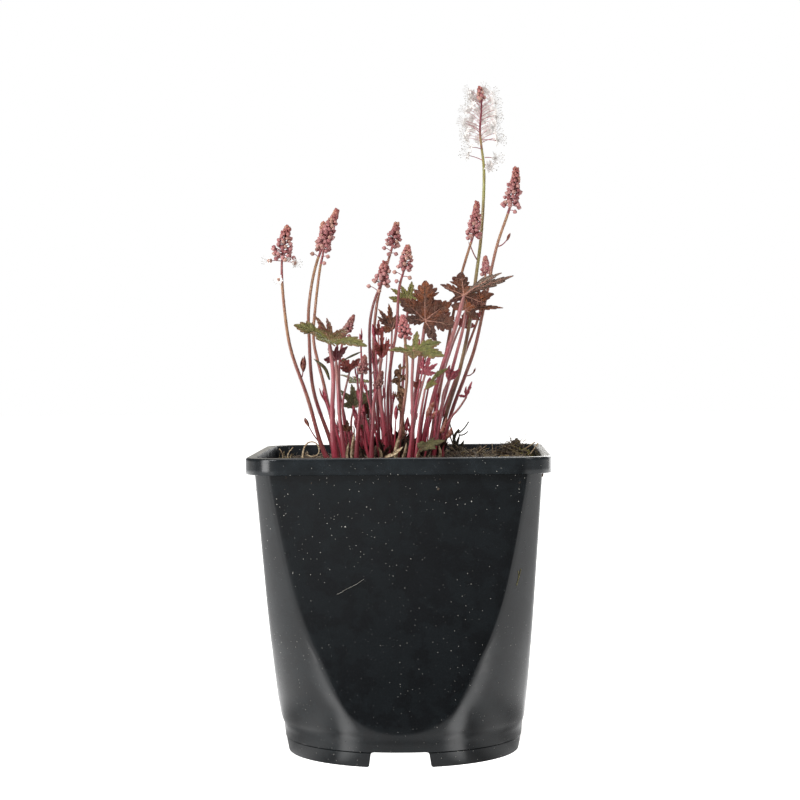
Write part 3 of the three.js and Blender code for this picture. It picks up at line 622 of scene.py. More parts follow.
def makeFollowPath():
    # a tube along each chain of edges, as thick as the chain's points say
    tree, entry, leave = newNodeTree("followPath", [
        ("Sides", "Int", 8), ("Unevenness", "Float", 0.0), ("Grain size", "Float", 300.0),
        ("Material", "Material", None)])
    chain = addNode(tree, "GeometryNodeMeshToCurve", {0: entry["Geometry"]})
    ring = addNode(tree, "GeometryNodeCurvePrimitiveCircle", {"Resolution": entry["Sides"], "Radius": 1.0})
    tube = addNode(tree, "GeometryNodeCurveToMesh",
                   {"Curve": chain.outputs[0], "Profile Curve": ring.outputs[0],
                    "Scale": namedValue(tree, "thickness"), "Fill Caps": True})
    cloud = addNode(tree, "ShaderNodeTexNoise", {"Scale": entry["Grain size"], "Detail": 2.0})
    amount = times(tree, calc(tree, "SUBTRACT", cloud.outputs[0], 0.5), entry["Unevenness"])
    normal = tree.nodes.new("GeometryNodeInputNormal").outputs[0]
    moved = pushed(tree, tube.outputs[0], normal, amount)
    soft = addNode(tree, "GeometryNodeSetShadeSmooth", {0: moved})
    tree.links.new(finished(tree, soft.outputs[0], entry["Material"]), leave[0])
    return tree


def makeSpire():
    # buds set round a stem, each turned by the golden angle from the last, and smaller to the top
    tree, entry, leave = newNodeTree("spire", [
        ("Bud", "Object", None), ("Pedicel", "Object", None), ("Count", "Int", 40),
        ("Width", "Float", 0.007), ("Tip share", "Float", 0.34), ("Bud length", "Float", 0.003),
        ("Lean low", "Float", 0.1), ("Lean high", "Float", 0.9), ("Smallest", "Float", 0.6),
        ("Turn", "Float", goldenAngle), ("Seed", "Int", 1), ("Bud material", "Material", None),
        ("Stem material", "Material", None)])
    chain = addNode(tree, "GeometryNodeMeshToCurve", {0: entry["Geometry"]})
    spots = addNode(tree, "GeometryNodeCurveToPoints", {"Curve": chain.outputs[0], "Count": entry["Count"]},
                    mode="COUNT").outputs
    index = tree.nodes.new("GeometryNodeInputIndex").outputs[0]
    along = calc(tree, "DIVIDE", index, calc(tree, "SUBTRACT", entry["Count"], 1.0))
    angle = calc(tree, "MULTIPLY_ADD", index, entry["Turn"], randomFloat(tree, -0.25, 0.25, entry["Seed"]))
    tangent, normal = spots["Tangent"], spots["Normal"]
    other = vectorCalc(tree, "CROSS_PRODUCT", tangent, normal)
    out = vectorCalc(tree, "ADD", vectorCalc(tree, "SCALE", normal, scale=calc(tree, "COSINE", angle)),
                     vectorCalc(tree, "SCALE", other, scale=calc(tree, "SINE", angle)))
    lean = ranged(tree, along, 0.0, 1.0, entry["Lean low"], entry["Lean high"])
    leaning = vectorCalc(tree, "ADD", out, vectorCalc(tree, "SCALE", tangent, scale=lean))
    axis = vectorCalc(tree, "NORMALIZE", leaning)
    taper = ranged(tree, calc(tree, "POWER", along, 1.7), 0.0, 1.0, 1.0, entry["Tip share"])
    smaller = ranged(tree, calc(tree, "POWER", along, 1.5), 0.0, 1.0, 1.0, entry["Smallest"])
    size = times(tree, smaller, randomFloat(tree, 0.8, 1.16, entry["Seed"], 7))
    budLength = times(tree, entry["Bud length"], size)
    halfWidth = times(tree, times(tree, entry["Width"], 0.5), taper)
    reach = calc(tree, "MAXIMUM", calc(tree, "SUBTRACT", halfWidth, budLength), 0.0)
    uneven = times(tree, reach, randomFloat(tree, 0.55, 1.3, entry["Seed"], 3))
    turned = pointAlong(tree, axis)
    lifted = pushed(tree, spots["Points"], axis, uneven)
    budSize = addNode(tree, "ShaderNodeCombineXYZ", {k: budLength for k in range(3)}).outputs[0]
    buds = placed(tree, lifted, shapeOf(tree, entry["Bud"]), turned, budSize)
    shade = randomFloat(tree, 0.0, 1.0, entry["Seed"], 11)
    toned = storeFloat(tree, storeFloat(tree, buds, "shade", shade), "tone", along)
    rodSize = addNode(tree, "ShaderNodeCombineXYZ",
                      {0: pedicelRadius, 1: pedicelRadius, 2: uneven}).outputs[0]
    rods = placed(tree, spots["Points"], shapeOf(tree, entry["Pedicel"]), turned, rodSize)
    both = tree.nodes.new("GeometryNodeJoinGeometry")
    tree.links.new(finished(tree, toned, entry["Bud material"]), both.inputs[0])
    tree.links.new(finished(tree, rods, entry["Stem material"]), both.inputs[0])
    tree.links.new(both.outputs[0], leave[0])
    return tree


def makeSetOnPoints():
    # one shape on each point of the host, turned and sized by the point's own values
    tree, entry, leave = newNodeTree("setOnPoints", [
        ("Shape", "Object", None), ("Material", "Material", None), ("Keep materials", "Bool", False)])
    turned = pointAlong(tree, namedValue(tree, "axis", "FLOAT_VECTOR"))
    points = addNode(tree, "GeometryNodeMeshToPoints", {0: entry["Geometry"]}).outputs[0]
    shapes = placed(tree, points, shapeOf(tree, entry["Shape"]), turned, namedValue(tree, "size"))
    wanted = addNode(tree, "FunctionNodeBooleanMath", {0: entry["Keep materials"]},
                     operation="NOT").outputs[0]
    tree.links.new(finished(tree, shapes, entry["Material"], wanted), leave[0])
    return tree


def makeScatter():
    # a shape strewn over a surface, more where the surface's mask is high
    tree, entry, leave = newNodeTree("scatter", [
        ("Shape", "Object", None), ("Density", "Float", 50000.0), ("Mask name", "String", "cover"),
        ("Smallest", "Float", 0.001), ("Largest", "Float", 0.002), ("Tilt", "Float", 3.14),
        ("Lift", "Float", 0.0), ("Seed", "Int", 1), ("Material", "Material", None)])
    density = times(tree, namedValue(tree, entry["Mask name"]), entry["Density"])
    strewn = addNode(tree, "GeometryNodeDistributePointsOnFaces",
                     {"Mesh": entry["Geometry"], "Density": density, "Seed": entry["Seed"]},
                     distribute_method="RANDOM").outputs
    lowTilt = times(tree, entry["Tilt"], -1.0)
    euler = addNode(tree, "ShaderNodeCombineXYZ",
                    {0: randomFloat(tree, lowTilt, entry["Tilt"], entry["Seed"], 1),
                     1: randomFloat(tree, lowTilt, entry["Tilt"], entry["Seed"], 2),
                     2: randomFloat(tree, -3.14, 3.14, entry["Seed"], 3)}).outputs[0]
    twist = addNode(tree, "FunctionNodeEulerToRotation", {0: euler}).outputs[0]
    turned = addNode(tree, "FunctionNodeRotateRotation", {0: pointAlong(tree, strewn["Normal"]), 1: twist},
                     rotation_space="LOCAL").outputs[0]
    draw = randomFloat(tree, 0.0, 1.0, entry["Seed"], 4)
    size = ranged(tree, calc(tree, "POWER", draw, 2.0), 0.0, 1.0, entry["Smallest"], entry["Largest"])
    raised = pushed(tree, strewn["Points"], strewn["Normal"], entry["Lift"])
    shapes = placed(tree, raised, shapeOf(tree, entry["Shape"]), turned, size)
    toned = storeFloat(tree, shapes, "shade", draw)
    tree.links.new(finished(tree, toned, entry["Material"]), leave[0])
    return tree


followPath = makeFollowPath()
spire = makeSpire()
setOnPoints = makeSetOnPoints()
scatter = makeScatter()
print("node trees made")


def tubesAlong(name, chains, finish, sides=8, unevenness=0.0, grainSize=300.0):
    # chains: for each tube its points, its thickness at each point, and its tone at each point
    points, edges, thickness, tone = [], [], [], []
    for line, radii, tones in chains:
        first = len(points)
        points.extend(line)
        edges.extend((first + k, first + k + 1) for k in range(len(line) - 1))
        thickness.extend(r * mm for r in radii)
        tone.extend(tones)
    mesh = newMesh(name, points, [], edges)
    storeOnPoints(mesh, "thickness", thickness)
    storeOnPoints(mesh, "tone", tone)
    host = newObject(name, mesh)
    return runNodes(host, followPath, {"Sides": sides, "Unevenness": unevenness * mm,
                                       "Grain size": grainSize, "Material": finish})


def chainAlong(line, foot, top, tone=0.5, toneTop=None, power=1.0):
    # a tube's points, with its thickness and its tone from one end to the other
    shares = np.linspace(0, 1, len(line))
    last = tone if toneTop is None else toneTop
    return line, [mix(foot, top, s ** power) for s in shares], [mix(tone, last, s) for s in shares]


def evenChain(line, thick):
    return chainAlong(line, thick, thick)


# Pot

pot = {
    "height": 168.7, "rimHalf": 82.5, "rimCorner": 19.7, "rimTall": 9.1, "rimEdge": 1.3, "wall": 1.6,
    "faceAtFoot": 66.8, "faceDraft": 0.066, "creaseSoftness": 1.4, "faceBulge": 1.0,
    "roundProfile": [(8.5, 66.95), (12, 67.4), (16.6, 68.1), (20, 70.0), (24, 71.8), (29.3, 73.9),
                     (35, 75.8), (48, 79.6), (59, 82.7), (70, 86.3), (90, 91.6), (114, 96.4),
                     (139, 100.7), (158, 103.7), (172, 105.4)],
    "ringTop": 8.5, "ringTopRadius": 66.5, "footRadius": 65.3, "footEdge": 0.8, "ringWidth": 2.2,
    "floorUnder": 10.0, "floorTop": 12.0,
    "notch": {"topWidth": 32.0, "footWidth": 33.4, "height": 8.7, "corner": 2.0, "toe": 1.6, "centre": -0.5},
    "drain": {"count": 4, "radius": 5.0, "circle": 38.0},
    "flatColumns": 22, "roundColumns": 22, "flatsFrom": 17.5, "wallRows": 52,
    "innerHeights": (163, 158, 150, 130, 100, 70, 48, 35, 26, 20, 16),
}
roundPath = Path([(z, r, 0) for z, r in pot["roundProfile"]])


def roundRadius(z):
    return float(np.interp(z, roundPath.fine[:, 0], roundPath.fine[:, 1]))


def faceHalf(z):
    return pot["faceAtFoot"] + pot["faceDraft"] * z


def wallRadius(angle, z):
    # the flats and the round body meet in a crease that is only a little soft
    nearest = (angle + math.pi / 4) % (math.pi / 2) - math.pi / 4
    bulge = pot["faceBulge"] * clamp(1 - (nearest / 0.72) ** 2) * clamp((z - 20) / 60)
    flat = (faceHalf(z) + bulge) / math.cos(nearest)
    full = roundRadius(z)
    soft = pot["creaseSoftness"]
    overlap = max(soft - abs(flat - full), 0) / soft
    return min(flat, full) - overlap * overlap * soft / 4


def creaseAngle(z):
    # half the angle that a flat spans at this height
    ratio = faceHalf(z) / roundRadius(z)
    spread = math.acos(ratio) if ratio < 1 else 0
    if z < pot["flatsFrom"]:
        return math.radians(4 + (pot["flatsFrom"] - z) * 3)
    return max(spread, math.radians(4))


def columnAngles(halfFlat):
    # the columns of points stand closer together towards the creases
    angles = []
    for side in range(4):
        middle = side * math.pi / 2
        flat = np.linspace(-1, 1, pot["flatColumns"], endpoint=False)
        angles.extend(middle + halfFlat * math.sin(f * math.pi / 2) for f in flat)
        corner = np.linspace(0, 1, pot["roundColumns"], endpoint=False)
        angles.extend(middle + halfFlat + c * (math.pi / 2 - 2 * halfFlat) for c in corner)
    return angles


def around(radius, angle, z):
    return radius * math.cos(angle), radius * math.sin(angle), z


def circleRow(radius, z):
    return [around(radius, angle, z) for angle in columnAngles(math.radians(22))]


def wallRow(z, inset):
    return [around(wallRadius(angle, z) - inset, angle, z) for angle in columnAngles(creaseAngle(z))]


def squareRow(half, corner, z):
    straight = half - corner
    halfFlat = math.atan2(straight, half)
    row = []
    for angle in columnAngles(halfFlat):
        turned = abs((angle + math.pi / 4) % (math.pi / 2) - math.pi / 4)
        if turned <= halfFlat + 1e-9:
            radius = half / math.cos(turned)
        else:
            along = straight * (math.cos(turned) + math.sin(turned))
            radius = along + math.sqrt(max(along * along - 2 * straight * straight + corner * corner, 0))
        row.append(around(radius, angle, z))
    return row


def potRows():
    top, wall = pot["height"], pot["wall"]
    rimLow, half, corner, edge = top - pot["rimTall"], pot["rimHalf"], pot["rimCorner"], pot["rimEdge"]
    foot, footEdge, ringTop, ringRadius = (pot[key] for key in ("footRadius", "footEdge", "ringTop",
                                                                "ringTopRadius"))
    floor, flatsFrom = pot["floorTop"], pot["flatsFrom"]
    ringInner = foot - pot["ringWidth"]
    rows = [circleRow(ringInner * share, pot["floorUnder"]) for share in (0.35, 0.6, 0.8, 0.95, 1.0)]
    rows += [circleRow(ringInner, 4), circleRow(ringInner, 0.3), circleRow(ringInner + 0.3, 0)]
    for turn in np.linspace(0, math.pi / 2, 4):
        rows.append(circleRow(foot - footEdge * (1 - math.sin(turn)), footEdge * (1 - math.cos(turn))))
    rows += [circleRow(mix(foot, ringRadius, s), mix(footEdge, ringTop - 0.6, s))
             for s in (0.3, 0.6, 0.9, 1)]
    rows += [circleRow(ringRadius - 0.3, ringTop - 0.3), circleRow(ringRadius + 0.3, ringTop - 0.05)]
    climb = [mix(ringTop + 0.1, flatsFrom, s) for s in np.linspace(0, 1, 11)[:-1]]
    climb += [flatsFrom + (top - wall - flatsFrom) * s ** 1.5 for s in np.linspace(0, 1, pot["wallRows"])]
    rows += [wallRow(z, 0) for z in climb]
    under = top - wall
    # under the rim, down its inside and round its lower edge: inset, inset of the corner, height
    turned = [(wall + 1.0, wall, under), (wall + 0.2, wall, under - 0.2), (wall, wall, under - 1.0),
              (wall - 0.1, wall, rimLow + 0.3), (wall - 0.35, wall, rimLow), (0.4, 0.4, rimLow),
              (0.1, 0, rimLow + 0.12), (0, 0, rimLow + 0.45)]
    rows += [squareRow(half - inset, corner - cornerInset, z) for inset, cornerInset, z in turned]
    rows += [squareRow(half, corner, mix(rimLow, top, s)) for s in (0.3, 0.6, 0.78)]
    for turn in np.linspace(0, math.pi / 2, 6):
        back = edge * (1 - math.cos(turn))
        rows.append(squareRow(half - back, corner - back, top - edge + edge * math.sin(turn)))
    rows.append(squareRow(half - 3.2, corner - 2.2, top))
    rows += [wallRow(top - 0.02, wall - 0.9), wallRow(top - 0.3, wall - 0.25), wallRow(top - 0.9, wall)]
    rows += [wallRow(z, wall) for z in pot["innerHeights"]]
    rows += [circleRow(roundRadius(13.4) - wall - 0.4, 13.2), circleRow(64.0, floor + 0.3)]
    rows += [circleRow(62.5 * share, floor) for share in (1.0, 0.75, 0.4)]
    return rows


def ringFaces(rings, count):
    # the skin from ring to ring of points, with a fan of faces to a point at each end
    faces = []
    for r in range(rings - 1):
        for k in range(count):
            a, b = r * count + k, r * count + (k + 1) % count
            faces.append((a, b, b + count, a + count))
    first, lastRing = rings * count, (rings - 1) * count
    for k in range(count):
        faces.append((first, (k + 1) % count, k))
        faces.append((first + 1, lastRing + k, lastRing + (k + 1) % count))
    return faces


def prism(outline, low, high, place):
    # a closed block with this outline, for cutting
    count = len(outline)
    points = [place(x, y, low) for x, y in outline] + [place(x, y, high) for x, y in outline]
    faces = [tuple(range(count - 1, -1, -1)), tuple(range(count, 2 * count))]
    faces += [(k, (k + 1) % count, (k + 1) % count + count, k + count) for k in range(count)]
    return newObject("cutter", tidyMesh(newMesh("cutter", points, faces)))


def notchOutline():
    # the right half goes from the foot up, and the left half is its mirror image back down
    n = pot["notch"]
    corner, top, toe = n["corner"], n["height"], n["toe"]
    halfTop, halfFoot = n["topWidth"] / 2, n["footWidth"] / 2
    quarter = np.linspace(0, math.pi / 2, 5)
    right = [(halfFoot + toe, -2)]
    right += [(halfFoot + toe * (1 - math.sin(turn)), toe * (1 - math.cos(turn))) for turn in quarter]
    right += [(halfTop - corner + corner * math.cos(turn), top - corner + corner * math.sin(turn))
              for turn in quarter]
    return [(n["centre"] + x, y) for x, y in right] + [(n["centre"] - x, y) for x, y in reversed(right)]


def makePot():
    rows, drain = potRows(), pot["drain"]
    points = [p for row in rows for p in row] + [(0, 0, pot["floorUnder"]), (0, 0, pot["floorTop"])]
    faces = ringFaces(len(rows), len(rows[0]))
    body = newObject("pot_body", tidyMesh(newMesh("pot_body", points, faces), 0.001))
    cutters = [prism(notchOutline(), -80, -50, lambda x, y, d: (x, d, y)),
               prism(notchOutline(), 50, 80, lambda x, y, d: (x, d, y))]
    for k in range(drain["count"]):
        x0, y0 = around(drain["circle"], (k + 0.5) * 2 * math.pi / drain["count"], 0)[:2]
        ring = [(x0 + drain["radius"] * math.cos(a), y0 + drain["radius"] * math.sin(a))
                for a in np.linspace(0, 2 * math.pi, 24, endpoint=False)]
        cutters.append(prism(ring, 5, 15, lambda x, y, d: (x, y, d)))
    for cutter in cutters:
        cut = body.modifiers.new("cut", "BOOLEAN")
        cut.operation, cut.solver, cut.object = "DIFFERENCE", "EXACT", cutter
    tidyMesh(settled(body).data, 0.001, sharpAbove=32)
    body.data.materials.append(potPlastic)
    for cutter in cutters:
        bpy.data.objects.remove(cutter)
    return seat(body, "pot_plastic", "pot")


def onPot(x, z, out=0.0):
    # the point of the pot's front at this x and height
    angle = math.atan2(-faceHalf(z), x)
    return around(wallRadius(angle, z) + out, angle, z)


def makePotMarks():
    # a pale hair and a forked straw that cling to the front
    hair = [onPot(mix(-33, -18.6, s), 95.4 + 8.6 * s ** 1.3 + 0.5 * math.sin(5 * s), 0.03)
            for s in np.linspace(0, 1, 9)]
    straw = [onPot(mix(66.5, 69.5, s), 99 + 9 * s, 0.1) for s in np.linspace(0, 1, 5)]
    fork = [onPot(mix(68, 66.6, s), 104 + 3 * s, 0.1) for s in np.linspace(0, 1, 5)]
    seat(tubesAlong("pot_hair", [evenChain(hair, 0.045)], perliteGrain, sides=6), "dry_plant")
    chains = [evenChain(straw, 0.32), evenChain(fork, 0.25)]
    seat(tubesAlong("pot_straw", chains, bractGreen, sides=6), "dry_plant")


makePot()
makePotMarks()
print("pot made")


# Soil

soil = {
    "level": 161.0, "cells": 150, "inset": 1.75, "bottom": 12.4, "roughness": 1.5,
    "sideHeights": (150.0, 90.0, 40.0, 22.0),
    # middle, height and width of each mound
    "mounds": [(66, 40, 4.5, 8), (62, 36, 2.5, 3), (71, -27, 4.5, 6), (42, 52, 3.5, 5), (26, 46, 3, 6),
               (50, -20, 2.5, 6), (-20, 40, 3, 6), (-58, 20, 3, 5), (34, 30, 3.5, 7), (-66, -50, 2.5, 6)],
}


def mound(x, y, mx, my, area):
    # 1 on the mound's top, and less with the distance from it
    return math.exp(-((x - mx) ** 2 + (y - my) ** 2) / area)


def soilHeight(x, y):
    dome = 3.2 * mound(x, y, -2, 2, 1500)
    ripple = 0.9 * math.sin(x * 0.21 + 1) * math.cos(y * 0.17) + 0.6 * math.sin(y * 0.37 + x * 0.11)
    height = soil["level"] + dome + ripple + 0.012 * (x + y)
    for mx, my, tall, wide in soil["mounds"]:
        height += tall * mound(x, y, mx, my, wide * wide)
    return height


def soilPoint(u, v):
    # a square grid bent to the pot's inside
    angle = math.atan2(v, u)
    share = max(abs(u), abs(v))
    x, y, z = around((wallRadius(angle, soil["level"] + 2) - soil["inset"]) * share, angle, 0)
    rough = noise.fractal(Vector((x, y, 3.7)) * 0.16, 1.0, 2.1, 5) * soil["roughness"]
    crumb = abs(noise.noise(Vector((x, y, 9.1)) * 0.9)) * 1.1
    edge = clamp((1 - share) * 9)
    return x, y, soilHeight(x, y) + rough * edge + crumb * edge


def makeSoil():
    # a rough top, and sides that follow the pot down to its floor
    n = soil["cells"]
    row = n + 1
    points = [soilPoint(2 * i / n - 1, 2 * j / n - 1) for j in range(row) for i in range(row)]
    faces = [(j * row + i, j * row + i + 1, (j + 1) * row + i + 1, (j + 1) * row + i)
             for j in range(n) for i in range(n)]
    border = [*range(row), *[j * row + n for j in range(1, row)]]
    border += [*[n * row + i for i in range(n - 1, -1, -1)], *[j * row for j in range(n - 1, 0, -1)]]
    ring = border
    for z in (*soil["sideHeights"], soil["bottom"]):
        lower = []
        for k in border:
            angle = math.atan2(points[k][1], points[k][0])
            radius = wallRadius(angle, z) - soil["inset"] if z > 20 else roundRadius(16) - 3.2
            points.append(around(radius, angle, z))
            lower.append(len(points) - 1)
        count = len(border)
        faces += [(ring[(k + 1) % count], ring[k], lower[k], lower[(k + 1) % count]) for k in range(count)]
        ring = lower
    points.append((0, 0, soil["bottom"]))
    faces += [(len(points) - 1, ring[(k + 1) % len(ring)], ring[k]) for k in range(len(ring))]
    ground = newObject("soil_fill", tidyMesh(newMesh("soil_fill", points, faces), 0.001))
    ground.data.materials.append(soilMix)
    return seat(ground, "soil_mix", "soil")


ground = makeSoil()
print("soil made")


# Shapes that are strewn or repeated

unitLong = 1000.0  # the size of a shape that is scaled where it is placed


def lumpShape(name, seed, rings=4, count=6, squash=0.75):
    # a small rough lump of unit radius
    points = [(0, 0, unitLong)]
    for r in range(1, rings):
        polar = math.pi * r / rings
        for k in range(count):
            turn = 2 * math.pi * (k + 0.5 * (r % 2)) / count
            points.append(around(unitLong * math.sin(polar), turn, unitLong * math.cos(polar)))
    points.append((0, 0, -unitLong))
    bent = []
    for x, y, z in points:
        grow = 1 + 0.45 * noise.noise(Vector((x, y, z)) * 0.0016 + Vector((seed, seed * 2.3, 0)))
        bent.append((x * grow, y * grow * 0.85, z * grow * squash))
    faces = [(0, 1 + k, 1 + (k + 1) % count) for k in range(count)]
    for r in range(rings - 2):
        for k in range(count):
            a, b = 1 + r * count + k, 1 + r * count + (k + 1) % count
            faces.append((a, a + count, b + count, b))
    low, final = 1 + (rings - 2) * count, len(points) - 1
    faces += [(final, low + (k + 1) % count, low + k) for k in range(count)]
    return newObject(name, tidyMesh(newMesh(name, bent, faces)))


def fibreShape(name, seed, bend, width=0.02, steps=7):
    # a bent thread of unit length that lies along X
    draw = random.Random(seed)
    shares = [k / (steps - 1) for k in range(steps)]
    line = [((s - 0.5) * unitLong, bend * unitLong * (s * (1 - s) * 4 - 0.5) + draw.uniform(-25, 25),
             draw.uniform(-30, 30) + 60 * math.sin(s * 3)) for s in shares]
    radii = [width * unitLong * (0.35 + 0.65 * math.sin(math.pi * clamp(0.08 + 0.84 * s))) for s in shares]
    return tubesAlong(name, [(line, radii, [0.5] * steps)], strawFibre, sides=4)


def insidePot(x, y):
    # how far this point is from the pot's inner wall at the top of the soil
    return wallRadius(math.atan2(y, x), 164) - pot["wall"] - math.hypot(x, y)


def maskSoil(name, rule, margin=0.0):
    mesh = ground.data
    values = []
    for vertex in mesh.vertices:
        x, y, z = vertex.co / mm
        bare = z < 156 or vertex.normal.z < 0.2 or insidePot(x, y) < margin
        values.append(0.0 if bare else rule(x, y))
    storeOnPoints(mesh, name, values)


def nearMound(x, y):
    return clamp(max(mound(x, y, mx, my, wide * wide * 1.6)
                     for mx, my, tall, wide in soil["mounds"][:5]) * 3 + 0.35)


def dressSoil():
    maskSoil("cover", lambda x, y: 0.5 + 0.5 * nearMound(x, y))
    maskSoil("inner", lambda x, y: 0.5 + 0.5 * nearMound(x, y), 6.0)
    maskSoil("rightEnd", lambda x, y: clamp((x - 20) / 40) * 0.9 + 0.1, 7.0)
    maskSoil("mossSpot", lambda x, y: clamp(1.4 * mound(x, y, 72, 42, 60) + 0.5 * mound(x, y, 70, -26, 50)))
    shapes = [lumpShape("lumpA", 1.0), lumpShape("lumpB", 5.0), lumpShape("lumpC", 9.0, squash=0.5)]
    threads = [fibreShape("threadA", 3, 0.16), fibreShape("threadB", 8, -0.3),
               fibreShape("threadC", 5, 0.05, 0.03)]
    layers = [  # piece, shape, finish, slot, density, smallest, largest, tilt, lift, mask and seed
        ("crumbs_a", shapes[0], peatCrumb, "soil_mix", 90000.0, 0.4, 1.7, 3.14, 0.0, "cover", 4),
        ("crumbs_b", shapes[1], soilMix, "soil_mix", 60000.0, 0.5, 2.2, 3.14, 0.0, "cover", 15),
        ("bark", shapes[2], barkGrey, "dry_plant", 9000.0, 1.0, 3.4, 3.14, 0.0, "cover", 23),
        ("perlite", shapes[1], perliteGrain, "soil_mix", 1600.0, 0.5, 1.3, 3.14, 0.0, "cover", 31),
        ("roots", threads[1], rootFibre, "dry_plant", 52000.0, 4, 11, 0.75, 0.9, "inner", 44),
        ("straw", threads[0], strawFibre, "dry_plant", 12000.0, 4, 13, 0.55, 0.9, "rightEnd", 52),
        ("chaff", threads[2], strawFibre, "dry_plant", 7000.0, 2.5, 6, 0.8, 0.6, "inner", 61),
        ("moss", threads[2], mossGreen, "dry_plant", 400000.0, 1.5, 3.5, 1.6, 0.8, "mossSpot", 75),
    ]
    for name, shape, finish, slotName, density, smallest, largest, tilt, lift, mask, seed in layers:
        host = newObject("soil_" + name, ground.data.copy())
        runNodes(host, scatter, {"Shape": shape, "Material": finish, "Density": density,
                                 "Smallest": smallest * mm, "Largest": largest * mm, "Tilt": tilt,
                                 "Lift": lift * mm, "Mask name": mask, "Seed": seed})
        seat(host, slotName)
    for shape in shapes + threads:
        bpy.data.objects.remove(shape)


dressSoil()
print("soil dressed")


# Stems

rootDepth = 11.0
stub = 4.0  # how far the leaf's blade piece goes down its stem


def up(height):
    return np.array([0, 0, height])


def randomVector(draw, *bounds):
    return np.array([draw.uniform(low, high) for low, high in bounds])


def rooted(points):
    # the stem goes on into the soil under its first point
    first, second = np.array(points[0], float), np.array(points[1], float)
    down = first - second
    return [first + down * (rootDepth / abs(down[2])), *[np.array(p, float) for p in points]]


def stemChain(path, start, end, thickFoot, thickTop, toneFoot=0.0, toneTop=1.0, step=3.0):
    count = max(4, int((end - start) / step) + 1)
    shares = np.linspace(0, 1, count)
    line = path.part(start, end, count)
    swell = [1 + 0.38 * math.exp(-((mix(start, end, s) - 15) / 14) ** 2) for s in shares]
    thickness = [mix(thickFoot, thickTop, s) * w for s, w in zip(shares, swell)]
    return line, thickness, [mix(toneFoot, toneTop, s) for s in shares]


def sideChain(foot, tip, thick=0.35, tone=0.8, sag=0.8):
    foot, tip = np.array(foot, float), np.array(tip, float)
    line = [mix(foot, tip, s) + up(-sag * 4 * s * (1 - s)) for s in np.linspace(0, 1, 6)]
    return chainAlong(line, thick, thick * 0.75, tone)


def stripFaces(steps):
    # the skin of a strip with four points in each ring
    faces = [(4 * k + j, 4 * k + (j + 1) % 4, 4 * k + (j + 1) % 4 + 4, 4 * k + j + 4)
             for k in range(steps) for j in range(4)]
    return faces + [(3, 2, 1, 0), tuple(4 * steps + j for j in range(4))]


def straps(name, lines, finish, hollow=0.3):
    # thin pointed strips: each has a bent line, a width and the way its flat side looks
    points, faces, steps = [], [], 8
    for line, width, facing in lines:
        path = Path(line)
        faces += [tuple(len(points) + i for i in side) for side in stripFaces(steps)]
        for k in range(steps + 1):
            s = k / steps
            ahead = path.heading(s * path.length)
            side = unit(np.cross(ahead, np.array(facing, float)))
            out = np.cross(side, ahead)
            half = width / 2 * math.sin(math.pi * clamp(0.1 + 0.88 * s)) ** 0.7
            for across, lift in ((-half, hollow * half), (0, 0.1), (half, hollow * half), (0, -0.1)):
                points.append(path.at(s * path.length) + side * across + out * lift)
    strip = newObject(name, tidyMesh(newMesh(name, points, faces)))
    strip.data.materials.append(finish)
    return strip


hairs = []  # foot, axis, length, shade and tone of each hair on the stems
hairDraw = random.Random(29)


def growHairs(path, start, end, thickFoot, thickTop, spacing=0.55):
    for d in np.arange(start, end, spacing):
        ahead = path.heading(d)
        side = unit(np.cross(ahead, randomVector(hairDraw, (-1, 1), (-1, 1), (-0.3, 0.3))))
        axis = unit(side + ahead * hairDraw.uniform(-0.3, 0.5))
        hairs.append((path.at(d) + side * mix(thickFoot, thickTop, d / path.length) * 0.9, axis,
                      hairDraw.uniform(0.5, 1.1), 0.5, 0.5))


# Heads of buds

def budShape(name, widen):
    # a closed bud of unit length that points up: five low ribs, a pinched foot and a small point
    profile = [(0.0, 0.12), (0.1, 0.28), (0.28, 0.44), (0.5, 0.47), (0.72, 0.36), (0.9, 0.15)]
    count = 10
    points, tips = [], []
    for height, radius in profile:
        for turn in np.linspace(0, 2 * math.pi, count, endpoint=False):
            rib = widen * (1 + 0.09 * math.cos(5 * turn))
            points.append(around(unitLong * radius * rib, turn, unitLong * height))
            tips.append(height)
    points += [(0, 0, 0), (0, 0, 1.03 * unitLong)]
    mesh = newMesh(name, points, ringFaces(len(profile), count))
    storeOnPoints(mesh, "tip", [*tips, 0, 1])
    mesh.shade_smooth()
    return newObject(name, mesh)


def rodShape():
    # a five-sided rod of unit radius and unit length
    turns = np.linspace(0, 2 * math.pi, 5, endpoint=False)
    points = [around(unitLong, turn, z) for z in (0, unitLong) for turn in turns]
    faces = [(k, (k + 1) % 5, (k + 1) % 5 + 5, k + 5) for k in range(5)] + [(4, 3, 2, 1, 0), (5, 6, 7, 8, 9)]
    mesh = newMesh("rodShape", points, faces)
    mesh.shade_smooth()
    return newObject("rodShape", mesh)


def setShapes(name, places, shape, finish, keepMaterials=False):
    # places: foot point, axis, size, shade, tone
    mesh = newMesh(name, [p[0] for p in places], [])
    storeOnPoints(mesh, "axis", [tuple(p[1]) for p in places], "FLOAT_VECTOR")
    storeOnPoints(mesh, "size", [p[2] * mm for p in places])
    storeOnPoints(mesh, "shade", [p[3] for p in places])
    storeOnPoints(mesh, "tone", [p[4] for p in places])
    values = {"Shape": shape, "Material": finish, "Keep materials": keepMaterials}
    return runNodes(newObject(name, mesh), setOnPoints, values)


heads = {"budLength": 2.75, "leanLow": -0.15, "leanHigh": 1.9, "smallest": 0.66, "perMillimetre": 3.3,
         "widen": 1.24, "tipShare": 0.5}

